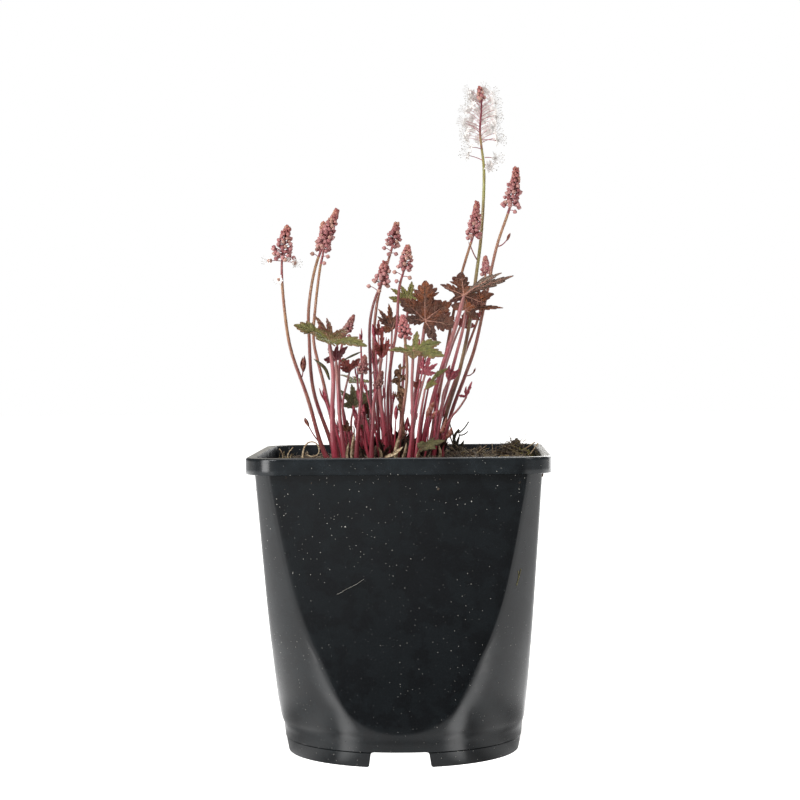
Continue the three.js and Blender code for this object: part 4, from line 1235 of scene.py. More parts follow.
# path: points from the soil up. dense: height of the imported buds. width: across them. loose: buds
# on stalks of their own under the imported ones, as the point the bud sits at. side: small side shoots.
stalks = [
    {"thick": (1.25, 0.8), "head": 32, "dense": 18, "width": 9.8,
     "path": [(-38, -8, 158), (-44, -10, 170), (-52, -14, 199), (-61, -19, 227), (-64, -22, 249),
              (-65, -26, 271), (-64, -28, 282), (-61, -30, 295)],
     "loose": [(-58, -26, 278), (-62.4, -33, 276.5), (-68, -25, 280.8), (-61.5, -27, 281.6),
               (-66.5, -33, 280), (-69.5, -29, 283)],
     "open": [((-71.6, -29, 275.8), 0.9), ((-57.6, -30, 274.4), 0.9), ((-66.4, -29, 265.4), 0.8),
              ((-61.4, -31, 276.4), 0.5)],
     "side": [((-55.3, -15, 211), (-54.2, -17, 215), 9.5), ((-45.5, -11, 174), (-52, -13, 184), 6.0)]},
    {"thick": (1.2, 0.8), "head": 29, "dense": 22, "width": 8.2,
     "path": [(-36, -4, 158), (-39, -6, 172), (-49, -9, 203), (-51, -12, 233), (-51, -14, 249),
              (-47, -16, 272), (-41, -18, 288), (-34, -20, 305)],
     "loose": [(-48.5, -17, 280.5), (-46, -15, 283), (-42.5, -21, 284)]},
    {"thick": (1.15, 0.75), "head": 25, "dense": 17, "width": 7.6,
     "path": [(-35, 8, 157), (-39, 9, 180), (-44, 10, 205), (-50, 11, 232), (-49, 12, 249), (-46, 13, 273),
              (-44, 13, 283), (-44, 14, 300)],
     "loose": [(-47.1, 13, 286.7), (-38.6, 13, 291), (-40.6, 13, 285), (-41.2, 12, 280),
               (-43.2, 10, 276.2)]},
    {"thick": (1.1, 0.75), "head": 18, "dense": 14.5, "width": 8.2, "toneTop": 0.75,
     "path": [(-13, 14, 157), (-14, 17, 197), (-16, 20, 227), (-15, 21, 244), (-13, 22, 257), (-7, 24, 278),
              (-5, 25, 285), (-2, 26, 300)],
     "loose": [(-2.4, 24, 281.6), (-9.6, 24, 285.1), (-7, 22, 281.5)]},
    {"thick": (1.1, 0.75), "head": 19, "dense": 13, "width": 8.8, "skin": "dark",
     "path": [(-17, 0, 158), (-17, -2, 175), (-17, -5, 211), (-17, -8, 240), (-15, -9, 251), (-10, -11, 265),
              (-8, -12, 276)],
     "loose": [(-17.4, -11, 262.3), (-14, -12, 265.1), (-6.1, -11, 262.2), (-11.3, -13, 259.5)],
     "side": [((-17, -6, 214), (-20, -7, 219), 4.5), ((-17, -6, 212), (-13, -8, 218), 4.5)]},
    {"thick": (1.1, 0.75), "head": 21, "dense": 14, "width": 7.8, "toneTop": 0.4,
     "path": [(-5, -4, 158), (-7, -6, 182), (-7, -8, 202), (-5, -10, 220), (-2, -11, 237), (0, -14, 261),
              (3, -15, 272), (5, -16, 285)],
     "loose": [(-2.7, -15, 269.9), (6.2, -16, 266.5), (-1.6, -16, 264.9)]},
    {"thick": (1.3, 0.85), "flowers": True, "skin": "olive", "head": 48, "width": 24, "count": 42,
     "path": [(18, 16, 157), (26, 15, 190), (33, 14, 212), (39, 14, 239), (43, 13, 266), (46, 12, 288),
              (48, 12, 317), (48, 11, 330), (46, 11, 350), (47, 10, 365), (46, 10, 374)],
     "side": [((44.5, 12.7, 276), (40, 11, 285), 3.0)]},
    {"thick": (1.1, 0.75), "head": 24, "dense": 20, "width": 7.6,
     "path": [(13, 8, 157), (19, 12, 186), (26, 15, 225), (31, 16, 251), (35, 11, 269), (39, 5, 282),
              (42, 3, 292), (44, 2, 310)],
     "loose": [(39.7, 4, 297.5), (38.6, 4, 293.4), (38.7, 4, 289.4), (45.6, 3, 290.5)]},
    {"thick": (1.2, 0.8), "head": 27, "dense": 22, "width": 9.2,
     "path": [(21, 3, 157), (28, 5, 188), (37, 7, 212), (42, 8, 226), (48, 8, 252), (55, 4, 284),
              (63, -3, 308), (66, -8, 328)],
     "loose": [(58, -4, 308), (67.3, -6, 307.3), (65.5, -5, 303.4)],
     "side": [((55.5, 4, 284), (61, 3, 288), 5.0), ((37, 7, 211), (41.5, 6, 213), 3.4)]},
    {"thick": (0.9, 0.7), "head": 12, "dense": 10, "width": 5.4,
     "path": [(11, 28, 156), (22, 32, 185), (35, 36, 219), (46, 40, 249), (49, 43, 270), (49, 44, 281)],
     "loose": [(47, 43, 270)]},
    {"thick": (1.0, 0.8), "head": 14, "dense": 12.5, "width": 7.0, "dusk": -1.0, "bud": 0.86,
     "path": [(-3, -20, 159), (1, -23, 187), (4, -26, 209), (4, -27, 222), (3, -29, 234), (2, -30, 246)],
     "loose": [(5.5, -29, 233)]},
    {"thick": (0.9, 0.7), "head": 13, "dense": 11, "width": 5.2, "dusk": 0.35, "bud": 0.78, "toneTop": 0.3,
     "path": [(-30, 18, 157), (-32, 20, 181), (-36, 22, 203), (-35, 24, 226), (-32, 25, 236),
              (-27, 26, 247)],
     "loose": [(-30, 24, 234.5)]},
    {"thick": (1.15, 0.85), "head": 11.5, "dense": 10.5, "width": 5.6, "dusk": 0.5, "bud": 0.74,
     "toneTop": 0.3,
     "path": [(-25, -20, 159), (-24, -22, 176), (-22, -25, 196), (-21, -26, 211), (-19, -28, 224)]},
    {"thick": (1.2, 0.9), "head": 11, "dense": 10, "width": 4.8, "dusk": 0.9, "bud": 0.7, "toneTop": 0.3,
     "path": [(-16, -26, 159), (-16, -27, 170), (-15, -29, 183), (-14, -30, 199), (-9, -32, 215)]},
]

bud = budShape("budShape", 1.0)
slimBud = budShape("slimBud", 0.3)
rod = rodShape()


def sideShoots(stalk, name):
    # a thin bent shoot with one slim bud and its bract at the end
    if "side" not in stalk:
        return []
    chains = [sideChain(foot, tip, 0.42, 0.3, sag=1.0) for foot, tip, long in stalk["side"]]
    places, bracts = [], []
    for foot, tip, long in stalk["side"]:
        tip = np.array(tip, float)
        axis = unit(tip - foot + up(6.0))
        places.append((tip - axis * 1.2, axis, long, 0.2, 0.9))
        edge = np.array([-0.18 * long, -0.06 * long, 0])
        bracts.append(([tip - axis, tip + edge + axis * long * 0.35, tip + edge * 0.5 + axis * long * 0.8],
                       0.2 * long, (1, -0.6, 0)))
    return [tubesAlong(name + "_shoots", chains, stalkSkin, sides=6),
            setShapes(name + "_sideBuds", places, slimBud, shootBud),
            straps(name + "_bracts", bracts, bractPink)]


def makeStalk(k, stalk, path):
    name = f"stalk_{k:02d}"
    thickFoot, thickTop = stalk["thick"]
    skin = {"dark": stalkDark, "olive": stalkOlive}.get(stalk.get("skin"), stalkSkin)
    end = path.length - stalk["head"]
    chain = stemChain(path, 1, end, thickFoot, thickTop, (k * 3 % 5) * 0.07, stalk.get("toneTop", 1.0))
    tube = tubesAlong(name, [chain], skin, sides=14, unevenness=0.1, grainSize=220.0)
    growHairs(path, 12, end, thickFoot, thickTop)
    return seat(joined(name + "_skin", [tube, *sideShoots(stalk, name)]), "stalk_skin", name)


def nearestOn(path, point, low, high):
    distances = np.linspace(low, high, 30)
    return min(distances, key=lambda d: np.linalg.norm(path.at(d) - point))


def lineMesh(name, points):
    return newMesh(name, points, [], [(i, i + 1) for i in range(len(points) - 1)])


def makeBudHead(k, stalk, path):
    name = f"buds_{k:02d}"
    end, start = path.length, path.length - stalk["head"]
    denseFrom = end - stalk["dense"]
    line = chainAlong(path.part(start, end - 0.6, 10), stalk["thick"][1], 0.35, 1.0)
    core = tubesAlong(name + "_core", [line], rachisSkin, sides=8)
    host = newObject(name + "_buds", lineMesh(name + "_buds", path.part(denseFrom, end - 2.2, 14)))
    size = stalk.get("bud", 1.0)
    count = int(stalk["dense"] * heads["perMillimetre"] / size ** 1.6)
    runNodes(host, spire, {"Bud": bud, "Pedicel": rod, "Count": count,
                           "Width": stalk["width"] * heads["widen"] * mm, "Tip share": heads["tipShare"],
                           "Bud length": heads["budLength"] * size * mm, "Lean low": heads["leanLow"],
                           "Lean high": heads["leanHigh"], "Smallest": heads["smallest"], "Seed": k * 13,
                           "Bud material": budSkin, "Stem material": rachisSkin})
    things = [host, core]
    if "loose" in stalk:  # single buds on stalks of their own
        chains, places = [], []
        draw = random.Random(k)
        for spot in stalk["loose"]:
            spot = np.array(spot, float)
            foot = path.at(nearestOn(path, spot - up(1.5), start - 6, denseFrom + 3))
            away = unit(spot - foot)
            chains.append(sideChain(foot, spot - away * 1.2, 0.26, 0.8, sag=-0.3))
            places.append((spot - away * 1.5, unit(away + up(-0.45)), heads["budLength"] * 0.95,
                           draw.uniform(0.5, 1.0), 0.0))
        things.append(tubesAlong(name + "_pedicels", chains, pedicelSkin, sides=5))
        things.append(setShapes(name + "_loose", places, bud, budSkin))
    if "open" in stalk:  # flowers that have opened, each in its cup
        chains, places, cups = [], [], []
        for spot, scale in stalk["open"]:
            spot = np.array(spot, float)
            foot = path.at(nearestOn(path, spot, start - 16, denseFrom))
            away = unit(spot - foot)
            chains.append(sideChain(foot, spot, 0.26, 0.8, sag=-0.2))
            places.append((spot, away, scale, 0.5, 0.3))
            cups.append((spot - away * 1.6, away, 3.4 * scale, 1.0, 0.0))
        things.append(setShapes(name + "_cups", cups, bud, budSkin))
        things.append(tubesAlong(name + "_openStems", chains, pedicelSkin, sides=5))
        things.append(setShapes(name + "_open", places, blossom, petal, keepMaterials=True))
    head = joined(name + "_head", things)
    # dusk: painted shade over the whole head, 0.15 unless the stalk gives another amount; below 0 a rosy
    # colour instead
    storeOnPoints(head.data, "dusk", [stalk.get("dusk", 0.15)] * len(head.data.vertices))
    return seat(head, "bud_skin", name)


# Open flowers

# sepals and petals: length, width, rise, curl and turn
flower = {"sepal": (3.1, 2.3, 1.5, 0.9, 0.0), "petal": (4.2, 1.6, 1.4, 1.8, 0.5), "stamenLong": 4.9,
          "stamens": 10, "reach": (9.6, 7.6), "lean": (0.3, 0.9)}


def bladePoints(length, width, rise, curl, angle, steps=5):
    # a thin pointed strip that leaves the middle at this angle, closed all round
    points, shares = [], []
    for k in range(steps + 1):
        s = k / steps
        out = 250 + length * unitLong * s * (1 - 0.12 * curl * s)
        height = unitLong * (rise * s - curl * s * s)
        half = unitLong * width / 2 * math.sin(math.pi * clamp(0.12 + 0.86 * s)) ** 0.8
        for across, lift in ((-half, 0), (0, 55), (half, 0), (0, -55)):
            points.append((out * math.cos(angle) - across * math.sin(angle),
                           out * math.sin(angle) + across * math.cos(angle), height + lift * (1 - 0.8 * s)))
            shares.append(s)
    return points, stripFaces(steps), shares


def flowerShape():
    # one open flower of life size, facing up: sepals, narrow petals between them, long stamens
    points, faces, tips = [], [], []
    for k in range(5):
        for length, width, rise, curl, turn in (flower["sepal"], flower["petal"]):
            more, sides, shares = bladePoints(length, width, rise, curl, (k + turn) * 2 * math.pi / 5)
            faces += [tuple(len(points) + i for i in side) for side in sides]
            points += more
            tips += shares
    petals = newObject("petals", newMesh("petals", points, faces))
    storeOnPoints(petals.data, "tip", tips)
    petals.data.materials.append(petal)
    chains, anthers = [], []
    for k in range(flower["stamens"]):
        turn = 2 * math.pi * (k + 0.3) / flower["stamens"]
        spread = 0.42 if k % 2 else 0.75
        long = flower["stamenLong"] * (1.0 if k % 2 else 0.88)
        axis = np.array([math.cos(turn) * spread, math.sin(turn) * spread, 1.0])
        tip = unit(axis) * long * unitLong
        chains.append(([np.zeros(3), tip * 0.5 + up(120), tip], [75, 62, 45], [0.5] * 3))
        anthers.append((tip, axis, 380.0, 0.5, 0.5))
    filaments = tubesAlong("filaments", chains, filamentWhite, sides=3)
    dots = setShapes("anthers", anthers, bud, antherBrown)
    centre = setShapes("ovary", [((0, 0, -300), (0, 0, 1), 1100.0, 0.5, 0.5)], bud, filamentWhite)
    return joined("flowerShape", [petals, filaments, dots, centre])


def makeFlowerHead(k, stalk, path):
    name = f"flowers_{k:02d}"
    end, start = path.length, path.length - stalk["head"]
    line = chainAlong(path.part(start, end - 0.5, 16), stalk["thick"][1], 0.4, 0.0, 1.0)
    things = [tubesAlong(name + "_core", [line], stalkOliveTop, sides=10)]
    draw = random.Random(7)
    places, chains, pale = [], [], []
    crowded = start + 17
    for n in range(stalk["count"]):
        share = n / (stalk["count"] - 1)
        height = mix(crowded, end - 6, share)
        turn = n * goldenAngle + 0.8
        heading = path.heading(height)
        side = unit(np.cross((1, 0, 0), heading))
        other = np.cross(heading, side)
        out = unit(side * math.cos(turn) + other * math.sin(turn) + heading * mix(*flower["lean"], share))
        if out[1] < -0.5:  # the front is left open, so that the stem shows
            out = unit(out * np.array([1.6, -0.5, 1.0]))
        reach = mix(*flower["reach"], share ** 1.5) * draw.uniform(0.8, 1.15)
        foot = path.at(height)
        tip = foot + out * reach
        (chains if n % 3 == 0 else pale).append(sideChain(foot, tip, 0.18, 0.8, sag=-0.5))
        places.append((tip, unit(out + up(draw.uniform(-0.3, 0.2))), mix(1.0, 0.85, share), draw.random(),
                       share))
    for foot, tip in singleFlowers:
        foot, tip = np.array(foot, float), np.array(tip, float)
        chains.append(sideChain(foot, tip, 0.26, 0.4, sag=-0.3))
        places.append((tip, unit(tip - foot + up(0.6)), 1.15, draw.random(), 0.0))
    things.append(tubesAlong(name + "_pedicels", chains, pedicelSkin, sides=5))
    things.append(tubesAlong(name + "_palePedicels", pale, bractPale, sides=5))
    things.append(setShapes(name + "_open", places, blossom, petal, keepMaterials=True))
    topBuds = newObject(name + "_top", lineMesh(name + "_top", path.part(end - 8, end, 8)))
    runNodes(topBuds, spire, {"Bud": bud, "Pedicel": rod, "Count": 15, "Width": 8 * mm, "Tip share": 0.5,
                              "Bud length": 2.6 * mm, "Lean low": 0.7, "Lean high": 1.6, "Smallest": 0.7,
                              "Seed": 91, "Bud material": budSkin, "Stem material": pedicelSkin})
    things.append(topBuds)
    return seat(joined(name + "_head", things), "petal", name)


singleFlowers = [  # where the stalk lets go, and the flower's middle
    ((47.1, 11, 344.9), (55.5, 10, 344.4)), ((46.5, 11, 339.8), (41.2, 9, 340.6)),
    ((47.0, 11, 333.5), (39.6, 12, 336.2)), ((48.7, 11, 334.9), (54.0, 9, 334.2)),
    ((48.7, 11, 330.7), (50.9, 9, 329.8)),
]

blossom = flowerShape()
for number, stalk in enumerate(stalks, 1):
    route = Path(rooted(stalk["path"]))
    makeStalk(number, stalk, route)
    if stalk.get("flowers"):
        makeFlowerHead(number, stalk, route)
    else:
        makeBudHead(number, stalk, route)
print("stalks and heads made")


def makeDriedStem():
    path = Path(rooted([(1, -4, 158), (1, -5, 186), (-1, -6, 203), (0, -6, 216)]))
    chain = stemChain(path, 1, path.length, 1.15, 0.8)
    tube = tubesAlong("dried_stem_tube", [chain], dryBrown, 10, 0.35, 400.0)
    pairs = [((0, -5.5, 196), (-3, -7, 201)), ((0, -6, 208), (3, -7, 212)), ((0, -6, 214), (0, -6, 218))]
    shoots = tubesAlong("dried_shoots", [sideChain(*pair, 0.5, 0.5) for pair in pairs], dryBrown, 6, 0.2)
    pods = [((-2.2, -6.6, 199.5), (-0.9, -0.3, 0.6), 3.4), ((2.0, -6.6, 210.5), (0.8, -0.2, 0.9), 3.6),
            ((0, -6, 213), (-0.1, 0, 1), 4.6), ((-0.6, -7.0, 205), (-0.5, -0.5, 1), 3.2),
            ((0.4, -6.4, 208), (0.3, -0.5, 1.2), 3.6), ((0.2, -6.2, 193), (0.7, -0.4, 1), 3.0),
            ((-0.6, -6.4, 211), (-0.6, -0.3, 1), 3.6)]
    places = [(foot, unit(np.array(axis)), long, 0.1, 0.2) for foot, axis, long in pods]
    husks = setShapes("dried_pods", places, slimBud, dryBrown)
    draw = random.Random(12)
    rags = []
    for k in range(26):
        foot = path.at(path.length - 1 - 26 * (k / 26) ** 1.3)
        out = unit(randomVector(draw, (-1, 1), (-1, 0.6), (-0.8, 0.9)))
        long = draw.uniform(3.0, 6.5) * (1.0 if k < 16 else 0.7)
        drop = up(-draw.uniform(0.5, 2.5))
        rags.append(([foot, foot + out * long * 0.5, foot + out * long * 0.9 + drop],
                     draw.uniform(1.4, 3.0), (draw.uniform(-1, 1), -1, draw.uniform(-0.5, 1))))
    withered = straps("dried_rags", rags, dryBrown, 0.6)
    return seat(joined("dried_stem_skin", [tube, shoots, husks, withered]), "dry_plant", "dried_stem")


def makeTwig():
    path = Path(rooted([(31, 34, 157), (31, 34, 166), (30, 34, 175), (33, 34, 179)]))
    tube = tubesAlong("twig_tube", [stemChain(path, 1, path.length, 1.1, 0.7)], darkTwig, 8, 0.5, 500.0)
    pairs = [((31, 34, 171), (27.2, 33, 184)), ((32.4, 34, 177), (38.5, 35, 183.6)),
             ((32.6, 34, 176), (38, 34, 178)), ((31, 34, 170), (29, 33, 178.5)),
             ((31, 34, 168), (27.6, 38, 175)), ((31.5, 33, 165), (35.5, 33, 172))]
    chains = [sideChain(*pair, 0.5, 0.5, sag=1.0) for pair in pairs]
    shoots = tubesAlong("twig_shoots", chains, darkTwig, 6, 0.3)
    blades = [([(31, 33, 160), (30.6, 32, 167), (33.2, 33, 176)], 2.2, (0, -1, 0.2)),
              ([(30, 34, 160), (28.4, 33, 166), (29.8, 33, 172)], 1.8, (-0.5, -1, 0)),
              ([(33, 33, 160), (35, 32, 164), (35.2, 33, 169)], 1.8, (0.6, -1, 0)),
              ([(32, 36, 160), (33, 37, 168), (36, 36, 173)], 1.6, (0.2, -1, 0.5))]
    husks = straps("twig_husks", blades, darkTwig, 0.7)
    return seat(joined("twig_skin", [tube, shoots, husks]), "dry_plant", "twig")


def makeDryCurl():
    path = Path(rooted([(-53, -40, 158), (-53.4, -41, 166), (-52.4, -40, 172.5), (-50, -40, 175.4),
                        (-46.6, -40, 175.4), (-44.4, -40, 172.6), (-44.8, -40.5, 169),
                        (-48, -41, 167.6), (-51, -41, 168.6)]))
    chain = stemChain(path, 1, path.length, 0.5, 0.32, step=1.2)
    return seat(tubesAlong("dry_curl_skin", [chain], papery, 8, 0.2, 500.0), "dry_plant", "dry_curl")


crown = {"shoots": 50, "middle": (-5, -1), "spread": (30, 20), "lean": 0.008, "stubs": 150}


def crownSpot(draw, within=1.0):
    # a random place in the oval that the clump stands on, and how far out it lies
    turn, far = draw.uniform(0, 2 * math.pi), math.sqrt(draw.random()) * within
    x = crown["middle"][0] + crown["spread"][0] * far * math.cos(turn)
    y = crown["middle"][1] + crown["spread"][1] * far * math.sin(turn)
    return x, y, far


def makeCrown():
    # thin new shoots between the stems, each with a folded leaf at its tip
    draw = random.Random(17)
    chains, tips = [], []
    for k in range(crown["shoots"]):
        x, y, far = crownSpot(draw)
        tall = draw.uniform(14, 40) if k % 3 or abs(x + 3) > 15 else draw.uniform(44, 74)
        foot = np.array([x, y, soilHeight(x, y) - 5])
        slant = np.array([x, y]) * crown["lean"] + randomVector(draw, (-0.09, 0.09), (-0.08, 0.08))
        tip = foot + np.array([*slant, 1]) * tall
        bow = (foot + tip) / 2 + np.array([*randomVector(draw, (-0.05, 0.05), (-0.05, 0.05)), 0]) * tall
        path = Path([foot, bow, tip])
        thick = draw.uniform(0.5, 0.85)
        chains.append(chainAlong(path.part(0, path.length, 12), thick * 1.25, thick * 0.62, 0.0, 0.5))
        ahead = path.heading(path.length)
        out = np.array([*randomVector(draw, (-1, 1), (-1, 0.5)), 0.2])
        for side in (1.0, -0.7):
            spread = unit(out) * side * 1.4
            top = tip + ahead * draw.uniform(4.5, 8.5) + spread * 0.6
            tips.append(([tip - ahead, tip + ahead * 3 + spread, top], draw.uniform(1.6, 3.2), -out * side))
    shoots = tubesAlong("crown_stems", chains, leafStemSkin, 8, 0.1, 220.0)
    folded = straps("crown_tips", tips, youngSkin, 0.6)
    seat(joined("crown_shoots", [shoots, folded]), "leaf_stem_skin")
    dead = []
    for k in range(crown["stubs"]):
        x, y, far = crownSpot(draw, 0.9)
        foot = np.array([x, y, soilHeight(x, y) - 1])
        lean = np.array([*randomVector(draw, (-0.7, 0.7), (-0.7, 0.5)), 1])
        lean = lean * draw.uniform(4, 12 + 10 * (1 - far))
        dead.append(([foot, foot + lean * 0.5 + up(1.5), foot + lean], draw.uniform(1.6, 4.0),
                     (draw.uniform(-1, 1), -1, draw.uniform(-0.3, 0.6))))
    seat(straps("crown_husks", dead, darkHusk, 0.7), "dry_plant")


def makeScraps():
    # papery sheaths and bracts at the stem feet, and two narrow leaves
    sheaths = [([(-27.4, -17, 160), (-27.2, -18, 170), (-25.8, -17, 180)], 2.4, (0.3, -1, 0)),
               ([(-29, -16, 160), (-29.8, -17, 168), (-29, -16, 174)], 1.8, (-0.6, -1, 0)),
               ([(-3, -21, 161), (-2.4, -23, 171), (0.4, -22, 180)], 2.6, (0.2, -1, 0.1)),
               ([(-1, -20, 161), (2, -22, 168), (3.4, -21, 174)], 2.0, (0.5, -1, 0)),
               ([(-8.5, -29, 166), (-3, -31, 168), (1.6, -30, 172)], 2.6, (0, -1, 0.8)),
               ([(-12, -20, 161), (-10.6, -23, 168), (-12.6, -24, 172)], 2.2, (-0.2, -1, 0)),
               ([(9, -17, 160), (9.5, -20, 167), (12, -19, 172)], 2.0, (0.3, -1, 0)),
               ([(20, -10, 160), (22, -13, 168), (21.4, -13, 172)], 2.2, (0.3, -1, 0))]
    bracts = [([(14.6, -8, 187), (16.4, -10, 192), (18.8, -10, 196.5)], 3.4, (0.3, -1, 0.3)),
              ([(17.2, -8, 187), (19.6, -10, 190), (22, -10, 191.5)], 2.6, (0.2, -1, 0.4)),
              ([(21.8, -10, 179), (24.4, -10, 182), (25.8, -9.6, 187.6)], 3.4, (0.4, -1, 0.2)),
              ([(24, -9, 176), (27, -10, 178), (28.6, -10, 182)], 3.0, (0.4, -1, 0.2))]
    greens = [([(-33, -12.6, 219.5), (-27.4, -15.5, 222), (-21.2, -16, 225)], 2.6, (0, -0.6, 1)),
              ([(-40.6, 2, 209), (-43.4, 3.4, 215.6), (-49.6, 4, 221)], 2.2, (0.5, -1, 0.3))]
    seat(straps("stem_sheaths", sheaths, papery, 0.8), "dry_plant")
    seat(straps("stem_bracts", bracts, bractPink, 0.6), "bud_skin")
    seat(straps("leaf_slivers", greens, bractGreen, 0.35), "leaf_green")


def makeHeap():
    # lumps and bark piled on the soil, most of them on the mounds at the right
    draw = random.Random(77)
    lump = lumpShape("heapLump", 3.0)
    piles = [(66, 41, 7.5, 5.5, 150, peatCrumb), (52, 44, 9, 3.0, 110, peatCrumb),
             (62, 40, 7, 5.0, 50, barkGrey), (20, -30, 14, 2.4, 120, peatCrumb),
             (-50, 6, 12, 2.0, 90, peatCrumb)]
    for number, (mx, my, wide, tall, count, finish) in enumerate(piles, 1):
        places = []
        for k in range(count):
            x, y = draw.gauss(mx, wide * 0.5), draw.gauss(my, wide * 0.5)
            if insidePot(x, y) < 2.5:
                continue
            z = soilHeight(x, y) + tall * mound(x, y, mx, my, wide * wide * 0.5) * draw.random()
            axis = unit(randomVector(draw, (-1, 1), (-1, 1), (-1, 1)))
            places.append(((x, y, z), axis, draw.uniform(0.5, 1.6), 0.5, 0.5))
        seat(setShapes(f"soil_heap_{number}", places, lump, finish), "soil_mix")
    bpy.data.objects.remove(lump)


def makeLongStraws():
    # single straws: eight that lean on the mounds at the right, and two at the left
    straws = [((62, 26, 160), (66.4, 32, 164.1), (77.3, 44, 171), 0.34),
              ((69, 29, 160), (74, 36, 164), (79, 44, 170.2), 0.5),
              ((68, 41, 168), (73, 34, 164.4), (74.6, 31, 160.5), 0.3),
              ((53, 33, 160), (52.5, 34, 165), (52, 36, 171), 0.22),
              ((53, 30, 160), (53.3, 30, 165), (54.6, 30, 169), 0.2),
              ((40, 38, 161), (43.2, 40, 165), (49, 42, 169.4), 0.26),
              ((56, 43, 161), (57, 44, 165.4), (64, 47, 169), 0.24),
              ((36, 29, 160), (38.4, 32, 166), (42, 36, 168), 0.24),
              ((-66, 20, 161), (-66, 21, 166), (-63, 22, 170), 0.3),
              ((-70, 8, 161), (-68, 8, 166), (-70, 8, 170), 0.24)]
    chains = []
    for *bend, thick in straws:
        line = Path(bend)
        chains.append(evenChain(line.part(0, line.length, 9), thick))
    seat(tubesAlong("soil_long_straws", chains, papery, sides=6), "dry_plant")


def makeLitter():
    # bent threads that lie over the soil and stand up from its mounds
    heaps = [((66, 41), (9, 5), 80, (6, 15), 0.85, rootFibre),
             ((48, 44), (10, 5), 60, (6, 13), 0.7, rootFibre),
             ((28, 32), (26, 9), 90, (6, 13), 0.75, rootFibre),
             ((68, 36), (6, 8), 26, (8, 16), 0.7, strawFibre),
             ((-66, 10), (7, 16), 40, (6, 13), 0.75, strawFibre),
             ((8, -38), (40, 8), 60, (6, 14), 0.6, rootFibre),
             ((32, -20), (24, 12), 60, (6, 13), 0.75, rootFibre),
             ((73, 37), (4, 4), 30, (4, 9), 0.8, mossGreen),
             ((-34, -22), (24, 8), 60, (5, 12), 0.7, rootFibre)]
    for number, (middle, spread, count, lengths, rise, finish) in enumerate(heaps, 1):
        draw = random.Random(100 + number)
        chains = []
        for k in range(count):
            x, y = (m + s * draw.gauss(0, 0.55) for m, s in zip(middle, spread))
            share = max(abs(x), abs(y)) / 72
            x, y = x / max(share, 1), y / max(share, 1)
            long, turn = draw.uniform(*lengths), draw.uniform(0, 2 * math.pi)
            if insidePot(x + math.cos(turn) * long, y + math.sin(turn) * long) < 1.5:
                turn += math.pi
            out = np.array(around(long, turn, 0))
            foot = np.array([x, y, soilHeight(x, y) - 0.6])
            peak = up(long * rise * draw.uniform(0.1, 0.8))
            line = Path([foot, foot + out * 0.35 + peak * 0.6,
                         foot + out * 0.75 + peak * draw.uniform(0.5, 1.4)])
            thick = draw.uniform(0.14, 0.34)
            chains.append(chainAlong(line.part(0, line.length, 7), thick, thick * 0.5))
        seat(tubesAlong(f"soil_litter_{number}", chains, finish, sides=4), "dry_plant")


makeDriedStem()
makeTwig()
makeDryCurl()
makeCrown()
makeScraps()
makeLitter()
makeLongStraws()
makeHeap()
print("dry stems and crown made")


# Leaves

leafShape = {
    "thick": 0.34, "arch": 0.06, "widest": 0.34, "sinusDepth": 0.56, "toothDepth": 0.36, "webColumns": 6,
    "rows": 7, "pucker": 0.085, "cup": 0.06,
    # points along a tooth: share of the tooth, how far out, push towards the lobe's tip
    "tooth": [(0.0, 0.0, 0.0), (0.3, 0.5, 0.0), (0.62, 0.86, 0.012), (0.84, 1.0, 0.03), (0.93, 0.55, 0.022)],
}


def leafPlane(lobes):
    total = np.zeros(3)
    for a, b in zip(lobes, lobes[1:]):
        total += np.cross(a, b)
    return unit(total)


def flatAngle(a, b, normal):
    a, b = a - normal * (a @ normal), b - normal * (b @ normal)
    return math.acos(clamp(unit(a) @ unit(b), -1, 1))


def halfLobe(lobe, across, width, sinus, teeth, lift, upward, fold):
    # columns from the leaf's base to the lobe's tip, each of which goes from the rib to the edge
    length = np.linalg.norm(lobe)
    sinusShare = clamp((sinus @ lobe) / (length * length), 0.12, 0.78)
    sinusOut = abs(sinus @ across) / length

    def halfWidth(s):
        plain = width * (1 - clamp((s - 0.55) / 0.45) ** 1.7)
        eased = clamp((s - sinusShare) / (0.32 * (1 - sinusShare)))
        return mix(sinusOut, plain, eased * eased * (3 - 2 * eased))

    columns = []  # boundary point, rib share, vein count, whether it is open edge
    web = leafShape["webColumns"]
    ribAtSinus = sinusShare * 0.62
    for c in range(web):
        s = c / web
        columns.append((sinus * s + upward * (lift(sinusShare * s) * 0.9), ribAtSinus * s, s * 0.6, s ** 3))
    for tooth in range(teeth):
        for step, rise, push in leafShape["tooth"]:
            f = (tooth + step) / teeth
            s = mix(sinusShare, 1.0, f ** 0.92)
            out = halfWidth(s)
            depth = leafShape["toothDepth"] * (0.55 if tooth == 0 and step < 0.2 else 1.0)
            out *= 1 - depth * (1 - rise)
            if tooth == 0 and step == 0.0:
                spot = sinus + upward * lift(sinusShare) * 0.9
            else:
                spot = lobe * (s + push) + across * (out * length) + upward * (lift(s) + fold * out * length)
            veinCount = 0.6 + tooth + step / 0.84 * 0.999
            columns.append((spot, mix(ribAtSinus, 1.0, f ** 1.12) * 0.985, veinCount, 1.0))
    columns.append((lobe.copy(), 1.0, 0.6 + teeth, 1.0))
    return columns


